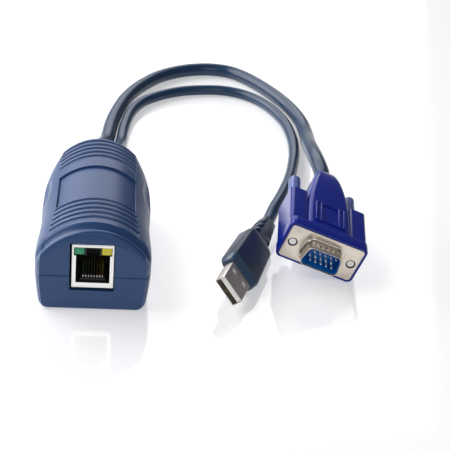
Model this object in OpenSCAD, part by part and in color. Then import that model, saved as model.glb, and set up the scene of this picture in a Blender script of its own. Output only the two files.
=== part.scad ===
// Server interface module: a moulded housing with a network jack in front, and two short
// leads behind that end in a 15-pin video plug and a flat serial plug.
// X runs across the jack face, Y from the jack face to the lead end, Z up from the table.

/* [Housing] */
// Length of the housing from the jack face to the lead end
body_len = 82; // [76:1:92]
// Greatest width, across the flared front
body_w = 43.2; // [40:0.2:48]
// Height at the crown of the arched top
body_h = 33.4; // [31:0.2:36]
// Radius of the arched top
arch_r = 24; // [22.5:0.5:30]
// Height of the line where the two shells meet
part_z = 14; // [13:0.2:15]
// Height at which the flanks are widest
flank_z = 17; // [16:0.5:20]
// Wall of both shells
wall = 2; // [1.6:0.1:2.4]
// Radius of the long bottom edges
bottom_r = 2.6; // [2:0.2:4]
// How far the lead end bulges behind its corners
rear_bow = 5; // [2:0.5:6]
// Width of the seam between the shells
seam = 0.35; // [0.2:0.05:0.5]

/* [Grip grooves] */
// Grooves in each of the two grip bands
groove_count = 5; // [3:1:5]
// Distance from groove to groove
groove_pitch = 3.55; // [3.2:0.05:3.6]
// Width of a groove at the surface
groove_w = 1.6; // [1.2:0.1:2]
// Depth of a groove
groove_d = 0.75; // [0.4:0.05:1]
// Distance from the jack face to the first groove of the front band
front_band_y = 10.7; // [9.5:0.1:12]
// Distance from the jack face to the first groove of the rear band
rear_band_y = 63.4; // [62:0.1:66]
// Length of the rounded lip and the cove behind it
cove_len = 6.6; // [5:0.1:7.5]
// Depth of the cove behind the lip
cove_d = 1.9; // [1:0.1:2.4]
// Depth of the bare label panel
panel_d = 0.8; // [0.2:0.05:1]
// Distance from the jack face to the rear step of the label panel
panel_end_y = 54.2; // [48:0.1:58]

/* [Jack] */
// Width of the jack
jack_w = 15.5; // [15:0.1:16.2]
// Height of the shell's crown over the jack
jack_headroom = 6.1; // [5.5:0.1:7]
// Depth of the jack
jack_len = 21; // [18:0.5:24]
// Distance from the jack's side to its socket
socket_cheek = 1.55; // [1.4:0.05:1.8]
// Height of the jack over its lamps
jack_roof = 1.2; // [0.8:0.1:1.6]
// Depth of the socket
socket_len = 14.5; // [12:0.5:16]
// Height of the jack floor under the socket
socket_floor = 2.2; // [1.8:0.1:2.8]
// Width of one status lamp
lamp_w = 3.9; // [3:0.1:4.2]
// Height of one status lamp
lamp_h = 3.4; // [2.8:0.1:3.6]
// Sheet thickness of the jack shield
shield_t = 0.3; // [0.2:0.05:0.4]
// Number of contact springs
contact_count = 8; // [4:1:8]
// Distance from contact to contact
contact_pitch = 1.02; // [0.9:0.01:1.1]

/* [Circuit board] */
// Distance from the housing's widest line to the board
board_side = 6.6; // [6:0.1:7.6]
// Length of the board
board_len = 66; // [62:0.5:68]
// Thickness of the board
board_t = 1.6; // [1.2:0.1:2]
// Height of the board above the table
board_z = 7.6; // [7:0.1:8.4]
// Distance of the case screws from the middle
screw_x = 12.2; // [11.6:0.1:12.6]
// Distance from the jack face to the front screws
front_screw_y = 14; // [12:0.5:18]
// Distance from the jack face to the rear screws
rear_screw_y = 57; // [54:0.5:60]
// Diameter of a case screw
screw_d = 2.5; // [2.2:0.1:3]
// Diameter of a case screw's head
screw_head_d = 4.6; // [4:0.1:5]
// Height of a case screw's head
screw_head_h = 1.8; // [1.4:0.1:2]

/* [Video lead] */
// Diameter of the video cord
video_cord_d = 6.8; // [6:0.1:7.6]
// Distance of its exit to the left of the middle
video_exit_x = 4.5; // [4:0.1:5]
// Length of its strain relief outside the housing
gland_len = 14; // [12:0.5:18]
// Width of the plug's metal flange
flange_w = 30.8; // [29:0.1:32]
// Height of the plug's metal flange
flange_h = 15.2; // [14:0.1:16]
// Distance between the two screw holes of the flange
hole_spacing = 25; // [24:0.1:26]
// Width of the D-shaped shell at its wide side
dshell_w = 16.9; // [16:0.1:17.4]
// Height of the D-shaped shell
dshell_h = 9.2; // [8.8:0.1:9.6]
// Length of the D-shaped shell in front of the flange
dshell_len = 6; // [5:0.1:6.4]
// Rim of blue plastic round the flange
hood_rim = 1.2; // [0.8:0.1:1.8]
// Length of the hood from flange to cord
hood_len = 54; // [50:0.5:58]
// Length of the two screw ears
ear_len = 29; // [26:0.5:32]
// Diameter of a thumbscrew knob
knob_d = 5; // [4.4:0.1:5.4]
// Length of a thumbscrew knob
knob_len = 27; // [24:0.5:30]
// Diameter of the thread of a thumbscrew
thread_d = 2.84; // [2.6:0.02:3]
// How far a thumbscrew slides forward
screw_travel = 5; // [4:0.1:5.4]

/* [Serial lead] */
// Diameter of the serial cord
serial_cord_d = 5.2; // [4.6:0.1:5.8]
// Distance of its exit to the right of the middle
serial_exit_x = 6.5; // [6.4:0.1:7]
// Width of the metal plug shell
shell_w = 12; // [11.8:0.1:12.2]
// Height of the metal plug shell
shell_h = 4.5; // [4.3:0.1:4.7]
// Length of the metal plug shell in front of the grip
shell_out = 12; // [11:0.5:13]
// Sheet thickness of the plug shell
shell_t = 0.3; // [0.25:0.05:0.4]
// Width of the moulded grip
grip_w = 16.4; // [15.4:0.1:17.4]
// Thickness of the moulded grip
grip_h = 8.4; // [7.6:0.1:9]
// Length of the moulded grip
grip_len = 28; // [24:0.5:32]
// Length of the ribbed strain relief behind the grip
relief_len = 18; // [14:0.5:20]

/* [Hidden] */

$fn = 40;
over = 0.5;       // how far a cut runs past the surface that it opens
fit_gap = 0.1;    // clearance of pieces that sit in each other
run_gap = 0.06;   // radial clearance of pieces that turn or slide in each other
front_y = -body_len / 2;
rear_y = body_len / 2;
half_w = body_w / 2;
crown_z = body_h - arch_r;

// Plan of the housing: share of the length, then share of the half width
plan_shares = [[0, 0.9], [0.02, 0.95], [0.05, 0.98], [0.11, 1], [0.19, 0.995], [0.29, 0.975],
    [0.4, 0.965], [0.5, 0.975], [0.64, 0.99], [0.75, 0.985], [0.84, 0.965], [0.91, 0.925],
    [0.96, 0.86], [0.985, 0.82], [1, 0.78]];
// Where the arch ends and the flank begins, in the same shares
crease_shares = [[0, 0.892], [0.03, 0.88], [0.07, 0.84], [0.1, 0.79], [0.18, 0.75],
    [0.28, 0.715], [0.32, 0.7], [0.64, 0.7], [0.72, 0.715], [0.94, 0.7], [1, 0.66]];
// How much of the bulge of the lead end a station takes
bow_shares = [[0, 0], [0.3, 0], [0.45, 0.35], [0.6, 0.8], [0.72, 1], [1, 1]];
// Lip and cove: share of the cove's length, then share of its depth
cove_shares = [[0, 0.9], [0.05, 0.62], [0.14, 0.44], [0.26, 0.38], [0.37, 0.46], [0.44, 0.66],
    [0.48, 0.92], [0.55, 1], [0.66, 0.92], [0.8, 0.6], [0.92, 0.2], [1, 0]];
// Rounding of the top edge at the lead end, share of the length, then share of a groove
tail_shares = [[0.965, 0], [0.98, 0.35], [0.99, 0.9], [1, 1.9]];
cap_shares = [0.75, 0.5, 0.25];
foot_share = 0.955;      // width at the foot of a flank against its greatest width
flank_shares = [[0.24, 0.45], [0.64, 0.82]];
inset_share = 0.8;
seam_share = 0.1;
groove_wall_share = 0.18;
crease_w = 0.35;
arch_steps = 16;
corner_steps = 4;

function half_at(s) = half_w * lookup(s, plan_shares);
function crease_at(s) = half_w * lookup(s, crease_shares);
function bow_at(s) = rear_bow * lookup(s, bow_shares);
function arch_at(x, r) = crown_z + sqrt(max(0, r * r - x * x));

// One point of a station, moved forward where the lead end bulges less
function bowed(p, y, bow, w) = [p[0], front_y + y - bow * pow(p[0] / w, 2), p[1]];

// Right half of the upper shell's outline at share s, from the seam to the crown,
// with the arch lowered by cut, its edge by edge_cut and the whole drawn in by inset
function upper_half(s, cut, edge_cut, inset, foot_z) = let (
        w = half_at(s) - inset,
        c = crease_at(s) - inset * inset_share,
        c_z = arch_at(c, arch_r - inset - edge_cut),
        edge_x = c - crease_w,
        edge_r = arch_r - inset - cut,
        reach = asin(edge_x / edge_r))
    concat(
        inset > 0 ? [[w, foot_z]] : [[w - seam, foot_z], [w - seam * seam_share, foot_z + seam]],
        [[w, flank_z]],
        [for (q = flank_shares) [w + (c - w) * q[0], flank_z + (c_z - flank_z) * q[1]]],
        [[c, c_z]],
        [for (k = [0 : arch_steps / 2]) let (a = reach * (1 - 2 * k / arch_steps))
            [edge_r * sin(a), crown_z + edge_r * cos(a)]]);
// The crown point closes one half, so the mirrored half leaves it out
function upper_ring(s, cut, edge_cut, inset, foot_z) = let (h = upper_half(s, cut, edge_cut, inset, foot_z))
    concat([for (p = h) [-p[0], p[1]]], [for (i = [len(h) - 2 : -1 : 0]) h[i]]);

// Right half of the lower shell's outline, from the seam to the middle of the floor
function lower_half(s, inset, rim_z) = let (
        w = half_at(s) - inset,
        foot = w * foot_share,
        r = max(bottom_r - inset, seam))
    concat(
        inset > 0 ? [[w, rim_z]] : [[w - seam, rim_z], [w - seam * seam_share, rim_z - seam]],
        [[(w + foot) / 2, (part_z + inset) / 2]],
        [for (k = [0 : corner_steps]) let (a = 90 * k / corner_steps)
            [foot - r + r * cos(a), inset + r - r * sin(a)]],
        [[0, inset]]);
function lower_ring(s, inset, rim_z) = let (h = lower_half(s, inset, rim_z))
    concat(h, [for (i = [len(h) - 2 : -1 : 0]) [-h[i][0], h[i][1]]]);

// Stations of the outer surface: distance from the jack face, then the depth of the arch
// and the depth of its edge
function groove_stations(y) = [
    [y - groove_w / 2, 0, 0],
    [y - groove_w * (0.5 - groove_wall_share), groove_d, 0],
    [y + groove_w * (0.5 - groove_wall_share), groove_d, 0],
    [y + groove_w / 2, 0, 0]];
panel_y = front_band_y + (groove_count - 1) * groove_pitch + groove_w;
step_w = crease_w / 2;
panel_shares = [0, 0.33, 0.67, 1];
upper_stations = concat(
    [for (p = cove_shares) [p[0] * cove_len, p[1] * cove_d, p[1] * cove_d]],
    [for (k = [0 : groove_count - 1]) each groove_stations(front_band_y + k * groove_pitch)],
    [for (q = panel_shares) [panel_y + (panel_end_y - step_w - panel_y) * q, panel_d, 0]],
    [[panel_end_y, 0, 0]],
    [for (k = [0 : groove_count - 1]) each groove_stations(rear_band_y + k * groove_pitch)],
    [for (p = tail_shares) [p[0] * body_len, p[1] * groove_d, p[1] * groove_d]]);
plain_shares = [0, 0.02, 0.05, 0.11, 0.19, 0.29, 0.4, 0.52, 0.64, 0.75, 0.84, 0.91, 0.96, 0.985, 1];
room_shares = [0, 0.1, 0.2, 0.3, 0.42, 0.56, 0.7, 0.82, 0.92, 1];

// Skins a list of rings into one closed solid that ends in a point
function loft_faces(n, m) = concat(
    [[for (j = [0 : m - 1]) j]],
    [for (i = [0 : n - 2], j = [0 : m - 1]) [i * m + j, (i + 1) * m + j, (i + 1) * m + (j + 1) % m]],
    [for (i = [0 : n - 2], j = [0 : m - 1]) [i * m + j, (i + 1) * m + (j + 1) % m, i * m + (j + 1) % m]],
    [for (j = [0 : m - 1]) [(n - 1) * m + j, n * m, (n - 1) * m + (j + 1) % m]]);
module loft_to_point(rings, point) {
    n = len(rings);
    m = len(rings[0]);
    polyhedron(points = concat([for (r = rings) each r], [point]), faces = loft_faces(n, m), convexity = 6);
}
// Rings that close the lead end over its bulge, drawn in towards height z
function cap_rings(ring, w, y, bow, z) = [for (f = cap_shares)
    [for (p = ring) bowed([p[0] * f, z + (p[1] - z) * f], y, bow, w)]];

module upper_block() {
    rings = [for (t = upper_stations) let (s = t[0] / body_len)
        [for (p = upper_ring(s, t[1], t[2], 0, part_z)) bowed(p, t[0], bow_at(s), half_at(s))]];
    tail_cut = tail_shares[3][1] * groove_d;
    last = upper_ring(1, tail_cut, tail_cut, 0, part_z);
    loft_to_point(concat(rings, cap_rings(last, half_at(1), body_len, rear_bow, part_z)),
        [0, rear_y, part_z]);
}
module upper_room() {
    rings = [for (q = room_shares) let (y = wall + q * (body_len - 2 * wall), s = y / body_len)
        [for (p = upper_ring(s, 0, 0, wall, part_z - over)) bowed(p, y, bow_at(s), half_at(s))]];
    s = 1 - wall / body_len;
    last = upper_ring(s, 0, 0, wall, part_z - over);
    loft_to_point(concat(rings, cap_rings(last, half_at(s), body_len - wall, rear_bow, part_z - over)),
        [0, rear_y - wall, part_z - over]);
}
module lower_block() {
    rings = [for (s = plain_shares)
        [for (p = lower_ring(s, 0, part_z)) bowed(p, s * body_len, bow_at(s), half_at(s))]];
    loft_to_point(concat(rings, cap_rings(lower_ring(1, 0, part_z), half_at(1), body_len, rear_bow, part_z)),
        [0, rear_y, part_z]);
}
module lower_room() {
    rings = [for (q = room_shares) let (y = wall + q * (body_len - 2 * wall), s = y / body_len)
        [for (p = lower_ring(s, wall, part_z + over)) bowed(p, y, bow_at(s), half_at(s))]];
    s = 1 - wall / body_len;
    loft_to_point(concat(rings,
            cap_rings(lower_ring(s, wall, part_z + over), half_at(s), body_len - wall, rear_bow, part_z + over)),
        [0, rear_y - wall, part_z + over]);
}

// A rounded rectangle, centred, with true arcs
module rounded_rect(w, h, r) {
    square([w - 2 * r, h], center = true);
    square([w, h - 2 * r], center = true);
    for (sx = [-1, 1], sy = [-1, 1]) translate([sx * (w / 2 - r), sy * (h / 2 - r)]) circle(r);
}
// Stands an outline drawn in X and Z up at y and runs it len towards the rear
module along_y(y, len) {
    translate([0, y + len, 0]) rotate([90, 0, 0]) linear_extrude(len) children();
}
module rod_y(d, y, len) {
    along_y(y, len) circle(d = d);
}
module box_at(low, size) {
    translate(low) cube(size);
}

// Jack cut-out: the gap is wider at the left and below, as it is on the real face
jack_front = 0.25;                // the jack's face lies this far behind the housing's
jack_y = front_y + jack_front;
jack_z = board_z + board_t;
jack_h = body_h - jack_z - jack_headroom;
socket_w = jack_w - 2 * socket_cheek;
socket_h = jack_h - socket_floor - lamp_h - jack_roof;
board_w = body_w - 2 * board_side;
jack_gap_left = 0.7;
jack_gap_right = 0.2;
jack_gap_below = 1.1;
jack_gap_above = 0.25;
module jack_opening() {
    box_at([-jack_w / 2 - jack_gap_left, front_y - over, jack_z - jack_gap_below],
        [jack_w + jack_gap_left + jack_gap_right, wall + 2 * over, jack_h + jack_gap_below + jack_gap_above]);
}

screw_places = [for (sx = [-1, 1], y = [front_screw_y, rear_screw_y]) [sx * screw_x, front_y + y]];
boss_d = 5.2;
pilot_len = 8;
head_seat_z = 2.4;
screw_len = 13.2;
boss_top_z = arch_at(screw_x + boss_d / 2, arch_r) - wall * 0.6;

// Leads leave through the rear wall, half in each shell
sleeve_t = 1.5;
serial_sleeve_t = 1.4;
flange_rim = 1;
serial_flange_rim = 0.9;
gland_wall_d = video_cord_d + 2 * sleeve_t;
serial_wall_d = serial_cord_d + 2 * serial_sleeve_t;
gland_flange_d = gland_wall_d + 2 * flange_rim;
serial_flange_d = serial_wall_d + 2 * serial_flange_rim;
gland_flange_t = 2;
hole_turn = 30;
function flange_back(x, d) = rear_y - wall - rear_bow * pow((abs(x) + d / 2) / (half_at(1 - wall / body_len) - wall), 2) - fit_gap;
module lead_holes() {
    for (g = [[-video_exit_x, gland_wall_d], [serial_exit_x, serial_wall_d]])
        translate([g[0], 0, part_z]) rotate([0, hole_turn, 0])
            rod_y(g[1] + 2 * fit_gap, rear_y - wall - rear_bow, wall + rear_bow + over);
}

// Finger scoops in the flanks: a spindle that only grazes the surface
scoop_y = 53;
scoop_z = 19.6;
scoop_len = 22;
scoop_h = 9;
scoop_d = 0.8;
scoop_tilt = 15;
scoop_shares = [-1.3, -1, -0.75, -0.5, -0.25, 0, 0.25, 0.5, 0.75, 1, 1.3];
scoop_r = (scoop_h * scoop_h / 4 + scoop_d * scoop_d) / (2 * scoop_d);
scoop_x = half_at(scoop_y / body_len) - scoop_d;
scoop_back = rear_bow * 0.55;
module scoops() {
    for (s = [0, 1]) mirror([s, 0, 0])
        translate([scoop_x - scoop_d + scoop_r * cos(scoop_tilt), front_y + scoop_y - scoop_back, scoop_z + scoop_r * sin(scoop_tilt)])
            rotate([-90, 0, 0]) rotate_extrude($fn = 64) polygon(concat(
                [[0, scoop_shares[0] * scoop_len / 2]],
                [for (q = scoop_shares) [scoop_r - scoop_d * q * q, q * scoop_len / 2]],
                [[0, -scoop_shares[0] * scoop_len / 2]]));
}
module seam_cut() {
    translate([0, front_y, part_z]) rotate([45, 0, 0]) cube([body_w, seam, seam], center = true);
}
module upper_shell() color("#5d6f96") {
    difference() {
        union() {
            difference() {
                upper_block();
                upper_room();
            }
            for (p = screw_places) translate([p[0], p[1], jack_z + fit_gap])
                cylinder(h = boss_top_z - jack_z - fit_gap, d = boss_d);
        }
        jack_opening();
        lead_holes();
        scoops();
        seam_cut();
        for (p = screw_places) translate([p[0], p[1], jack_z - over]) cylinder(h = pilot_len + over, d = screw_d);
    }
}

rib_t = 1.5;
rib_top_z = 9;
rib_w = 26;
module lower_shell() color("#4a5f8c") {
    difference() {
        union() {
            difference() {
                lower_block();
                lower_room();
            }
            for (p = screw_places) translate([p[0], p[1], wall - over])
                cylinder(h = board_z - wall + over, d = boss_d + 1);
            translate([-rib_w / 2, flange_back(serial_exit_x, serial_flange_d) - gland_flange_t - rib_t - fit_gap, wall - over])
                cube([rib_w, rib_t, rib_top_z - wall + over]);
        }
        jack_opening();
        lead_holes();
        seam_cut();
        for (p = screw_places) translate([p[0], p[1], -over]) {
            cylinder(h = board_z + 2 * over, d = screw_d + 2 * fit_gap);
            cylinder(h = head_seat_z + over, d = screw_head_d + 4 * fit_gap);
        }
    }
}

slot_w = 0.8;
slot_d = 0.7;
module case_screws() color("#b9bcc2") {
    for (p = screw_places) translate([p[0], p[1], head_seat_z]) difference() {
        union() {
            translate([0, 0, -screw_head_h]) cylinder(h = screw_head_h, d = screw_head_d);
            cylinder(h = screw_len, d = screw_d - fit_gap);
        }
        for (a = [0, 90]) rotate([0, 0, a]) translate([-screw_head_d / 3, -slot_w / 2, -screw_head_h - over])
            cube([screw_head_d / 1.5, slot_w, slot_d + over]);
    }
}

board_front = front_y + wall + 2 * fit_gap;
pin_d = 0.6;
pin_hole_d = pin_d + 2 * fit_gap;
pin_row_y = 11;
pin_row_step = 2.54;
pin_below = 1.4;
function pin_place(k) = [(k - (contact_count - 1) / 2) * contact_pitch, jack_y + pin_row_y + (k % 2) * pin_row_step];
module circuit_board() color("#1f6b3a") {
    difference() {
        box_at([-board_w / 2, board_front, board_z], [board_w, board_len, board_t]);
        for (p = screw_places) translate([p[0], p[1], board_z - over])
            cylinder(h = board_t + 2 * over, d = screw_d + 4 * fit_gap);
        for (k = [0 : contact_count - 1]) translate([pin_place(k)[0], pin_place(k)[1], board_z - over])
            cylinder(h = board_t + 2 * over, d = pin_hole_d);
    }
}

socket_z = jack_z + socket_floor;
lamp_z = socket_z + socket_h;
lamp_edge = jack_w / 2 - (jack_w - socket_w) / 4;
shield_gap = 0.05;
module jack_window(y, len) {
    box_at([-socket_w / 2, y, socket_z], [socket_w, len, socket_h + shield_gap]);
    box_at([-lamp_edge, y, lamp_z], [2 * lamp_edge, len, lamp_h + shield_gap]);
}
module jack_shield() color("#e4e4e0") {
    difference() {
        box_at([-jack_w / 2, jack_y, jack_z], [jack_w, jack_len, jack_h]);
        box_at([-jack_w / 2 + shield_t, jack_y + shield_t, jack_z - over],
            [jack_w - 2 * shield_t, jack_len - 2 * shield_t, jack_h - shield_t + over]);
        jack_window(jack_y - over, shield_t + 2 * over);
    }
}

insert_w = jack_w - 2 * shield_t - 2 * shield_gap;
lamp_inner = lamp_edge - lamp_w;
keyway_w = 2 * (lamp_inner - 2 * shield_t);
keyway_len = 12;
lamp_len = 14;
contact_w = 0.42;
contact_t = 0.28;
contact_root_y = 2.4;
root_d = 0.6;
root_z = socket_z + 0.55;
comb_w = 9.4;
comb_len = 2;
comb_h = 1.1;
comb_slot_h = 0.85;
root_y = jack_y + contact_root_y;
module jack_insert() color("#15161a") {
    difference() {
        union() {
            difference() {
                box_at([-insert_w / 2, jack_y + shield_t + shield_gap, jack_z],
                    [insert_w, jack_len - 2 * shield_t - 2 * shield_gap, jack_h - shield_t - shield_gap]);
                box_at([-socket_w / 2, jack_y, socket_z], [socket_w, socket_len, socket_h]);
            }
            box_at([-comb_w / 2, root_y - comb_len / 2, socket_z - shield_gap], [comb_w, comb_len, comb_h + shield_gap]);
        }
        translate([-comb_w / 2 - over, root_y, root_z]) rotate([0, 90, 0])
            cylinder(h = comb_w + 2 * over, d = root_d + 2 * shield_gap);
        for (k = [0 : contact_count - 1]) box_at([pin_place(k)[0] - contact_w / 2 - fit_gap, root_y, root_z - root_d / 2 - shield_gap],
            [contact_w + 2 * fit_gap, comb_len, comb_slot_h]);
        box_at([-keyway_w / 2, jack_y, lamp_z - over], [keyway_w, keyway_len, lamp_h + over]);
        for (s = [-1, 1]) translate([s * (lamp_edge - lamp_w / 2) - lamp_w / 2 - shield_gap, jack_y, lamp_z])
            cube([lamp_w + 2 * shield_gap, lamp_len + shield_gap, lamp_h]);
        for (k = [0 : contact_count - 1]) translate([pin_place(k)[0], pin_place(k)[1], jack_z - over])
            cylinder(h = pin_head + over + fit_gap, d = pin_hole_d);
    }
}

// Contact springs: one bent strip each, seen from the side, hinged at its root
spring_shares = [[0, 0], [0.45, 0.42], [0.78, 0.86], [1, 1]];
spring_len = 10;
spring_rise = 3.4;
module contact_strip() {
    up = [for (p = spring_shares) [p[0] * spring_len, p[1] * spring_rise + contact_t / 2]];
    down = [for (i = [len(spring_shares) - 1 : -1 : 0])
        [spring_shares[i][0] * spring_len, spring_shares[i][1] * spring_rise - contact_t / 2]];
    polygon(concat(up, down));
}
module jack_contacts() color("#d9b65a") {
    for (k = [0 : contact_count - 1]) translate([pin_place(k)[0] - contact_w / 2, root_y, root_z])
        rotate([90, 0, 90]) linear_extrude(contact_w) union() {
            contact_strip();
            circle(d = root_d);
        }
}
pin_head = 1.2;
module jack_pins() color("#c9ccd1") {
    for (k = [0 : contact_count - 1]) translate([pin_place(k)[0], pin_place(k)[1], board_z - pin_below])
        cylinder(h = pin_below + board_t + pin_head, d = pin_d);
}

lamp_set_back = 0.5;
module lamp(side) {
    x = side * (lamp_edge - lamp_w / 2) - lamp_w / 2;
    box_at([x, jack_y + lamp_set_back, lamp_z + shield_gap], [lamp_w, lamp_len - lamp_set_back, lamp_h - 2 * shield_gap]);
}
module lamp_green() color("#1f8a4c") lamp(-1);
module lamp_amber() color("#c9b326") lamp(1);

// A flat chip with a row of leads on each of its four sides, or on two
lead_t = 0.25;
lead_w = 0.4;
lead_reach = 1;
module chip(w, l, h, lead_n, both_ways) {
    translate([0, 0, h / 2 + lead_t]) cube([w, l, h], center = true);
    step_l = l / (lead_n + 1);
    step_w = w / (lead_n + 1);
    for (s = [-1, 1], k = [1 : lead_n]) {
        translate([s * (w + lead_reach) / 2, -l / 2 + k * step_l, lead_t])
            cube([lead_reach + lead_t, lead_w, 2 * lead_t], center = true);
        if (both_ways) translate([-w / 2 + k * step_w, s * (l + lead_reach) / 2, lead_t])
            cube([lead_w, lead_reach + lead_t, 2 * lead_t], center = true);
    }
}
main_chip_w = 14;
main_chip_h = 1.4;
main_chip_y = 33;
main_chip_leads = 12;
module main_chip() color("#24262b")
    translate([0, front_y + main_chip_y, jack_z]) chip(main_chip_w, main_chip_w, main_chip_h, main_chip_leads, true);
video_chip_w = 7;
video_chip_y = 49;
video_chip_x = 5.5;
video_chip_leads = 7;
module video_chip() color("#24262b")
    translate([-video_chip_x, front_y + video_chip_y, jack_z]) chip(video_chip_w, video_chip_w, main_chip_h, video_chip_leads, true);
memory_chip_w = 4;
memory_chip_len = 5;
memory_chip_x = 6;
memory_chip_leads = 4;
module memory_chip() color("#24262b")
    translate([memory_chip_x, front_y + video_chip_y, jack_z]) chip(memory_chip_w, memory_chip_len, main_chip_h, memory_chip_leads, false);

crystal_w = 4.6;
crystal_len = 10.4;
crystal_h = 3.6;
crystal_x = 11.4;
crystal_y = 29;
module crystal() color("#cfd2d6") {
    translate([crystal_x, front_y + crystal_y, jack_z]) {
        linear_extrude(crystal_h) {
            square([crystal_w, crystal_len - crystal_w], center = true);
            for (s = [-1, 1]) translate([0, s * (crystal_len - crystal_w) / 2]) circle(d = crystal_w);
        }
    }
}
can_d = 5;
can_h = 5.6;
can_x = 11.6;
can_y = 27;
can_step = 6.2;
module capacitors() color("#b4b7bd") {
    for (k = [0, 1]) translate([-can_x, front_y + can_y + k * can_step, jack_z]) {
        cylinder(h = can_h, d = can_d);
        translate([0, 0, lead_t * 2]) cube([can_d, can_d, lead_t * 4], center = true);
    }
}
coil_w = 5;
coil_h = 3.2;
coil_y = 40.5;
coil_x = 12;
module coils() color("#3c3f45") {
    for (s = [-1, 1]) translate([s * coil_x, front_y + coil_y, jack_z]) {
        translate([0, 0, lead_t]) cube([coil_w, coil_w, 2 * lead_t], center = true);
        cylinder(h = coil_h, d = coil_w - 2 * lead_t);
    }
}
bit_w = 1.2;
bit_len = 2;
bit_h = 0.8;
bit_step = 2.6;
bit_rows = 4;
bit_x = 11;
bit_y = 44.8;
module small_parts() color("#c7b48f") {
    for (s = [-1, 1], k = [0 : bit_rows - 1]) translate([s * (bit_x + bit_w / 2), front_y + bit_y + k * bit_step, jack_z + bit_h / 2])
        cube([bit_w, bit_len, bit_h], center = true);
    for (k = [-1 : 1]) translate([k * bit_step, front_y + main_chip_y - main_chip_w / 2 - bit_step, jack_z + bit_h / 2])
        cube([bit_w, bit_len, bit_h], center = true);
}

header_y = 62;
header_len = 4.6;
header_h = 7;
video_header_w = 11;
serial_header_w = 8;
header_gap = 0.5;
module video_header() color("#e8e4d6")
    box_at([-video_exit_x - video_header_w / 2, front_y + header_y, jack_z], [video_header_w, header_len, header_h]);
module serial_header() color("#e8e4d6")
    box_at([serial_exit_x - serial_header_w / 2, front_y + header_y, jack_z], [serial_header_w, header_len, header_h]);

wire_d = 1.3;
video_wire_n = 5;
serial_wire_n = 4;
wire_step = 1.7;
module wires(x, n, flange_d) {
    start = front_y + header_y + header_len;
    end = flange_back(x, flange_d) - gland_flange_t;
    for (k = [0 : n - 1]) translate([x + (k - (n - 1) / 2) * wire_step, 0, part_z]) rod_y(wire_d, start, end - start);
}
module video_wires() color("#8a2f2f") wires(-video_exit_x, video_wire_n, gland_flange_d);
module serial_wires() color("#2f6b8a") wires(serial_exit_x, serial_wire_n, serial_flange_d);

// Strain relief: a flange inside the wall and a ribbed taper outside it
relief_rings = 4;
ring_cut = 0.6;
ring_len = 1.2;
root_len = 2.4;
module gland(x, wall_d, flange_d, cord_d) {
    back = flange_back(x, flange_d);
    out_len = rear_y - back + root_len;
    tail = gland_len - root_len;
    tip_r = cord_d / 2 + 4 * fit_gap;
    step = tail / relief_rings;
    translate([x, back - gland_flange_t, part_z]) rotate([-90, 0, 0]) rotate_extrude() polygon(concat(
        [[0, 0], [flange_d / 2, 0], [flange_d / 2, gland_flange_t], [wall_d / 2, gland_flange_t]],
        [for (k = [0 : relief_rings - 1]) let (
                y = gland_flange_t + out_len + k * step,
                r = wall_d / 2 + (tip_r - wall_d / 2) * k / relief_rings)
            each [[r, y], [r - ring_cut, y], [r - ring_cut, y + ring_len], [r, y + ring_len]]],
        [[tip_r, gland_flange_t + out_len + tail], [0, gland_flange_t + out_len + tail]]));
}
module video_gland() color("#2c3a5a") gland(-video_exit_x, gland_wall_d, gland_flange_d, video_cord_d);
module serial_gland() color("#2c3a5a") gland(serial_exit_x, serial_wall_d, serial_flange_d, serial_cord_d);

// Places of the two plugs on the table: yaw, nose-down pitch and roll
video_yaw = -6.6;
video_pitch = 6;
video_roll = 19;
video_x = 88.4;
video_y = -14.8;
serial_yaw = -19.2;
serial_roll = 50.5;
serial_x = 50.8;
serial_y = -37.9;
table_gap = 0.05;

hood_w = flange_w + 2 * hood_rim;
hood_h = flange_h + 2 * hood_rim;
hood_r = 2.4;
// Height of the plug's middle over the table when the low corner of its rim just clears it
video_z = cos(video_pitch) * ((hood_w / 2 - hood_r) * sin(video_roll) + (hood_h / 2 - hood_r) * cos(video_roll) + hood_r)
    + table_gap;
nose_h = 5.6;
nose_r = 1.4;
grip_r = 2;
serial_z = (grip_w / 2 - grip_r) * sin(serial_roll) + (grip_h / 2 - grip_r) * cos(serial_roll) + grip_r + table_gap;
module at_video_plug() {
    translate([video_x, video_y, video_z]) rotate([0, 0, video_yaw]) rotate([video_pitch, 0, 0])
        rotate([0, video_roll, 0]) children();
}
module at_serial_plug() {
    translate([serial_x, serial_y, serial_z]) rotate([0, 0, serial_yaw]) rotate([0, serial_roll, 0]) children();
}
video_axis = [-sin(video_yaw) * cos(video_pitch), cos(video_yaw) * cos(video_pitch), sin(video_pitch)];
serial_axis = [-sin(serial_yaw), cos(serial_yaw), 0];

flange_t = 0.5;
rim_y = 0.15;
block_len = 5.5;
ear_w = 7.6;
ear_h = 14.2;
ear_r = 1.8;
neck_w = 18.8;
neck_h = 16.2;
hood_width_shares = [[0, 1], [0.3, 0.98], [0.5, 0.92], [0.65, 0.81], [0.78, 0.69], [0.88, 0.57], [0.95, 0.48], [1, 0.4]];
hood_height_shares = [[0, 1], [0.62, 1], [0.8, 0.93], [0.9, 0.82], [0.96, 0.7], [1, 0.56]];
grip_w_top = 13;
grip_y = 9;
grip_top_len = 13;
grip_bar = 1.1;
grip_raise = 0.7;
grip_bars = 4;
bore_d = thread_d + 0.24;
chamber_d = 4.4;
chamber_y = 5.2;
retainer_len = 1.6;
neck_d = 2.2;
lip_t = 1;
chamber_len = screw_travel + retainer_len + 8 * fit_gap;
knob_hole_y = chamber_y + chamber_len + lip_t;
knob_hole_d = knob_d + 4 * fit_gap;
insulator_len = 7.4;
insulator_back = 0.2;

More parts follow.
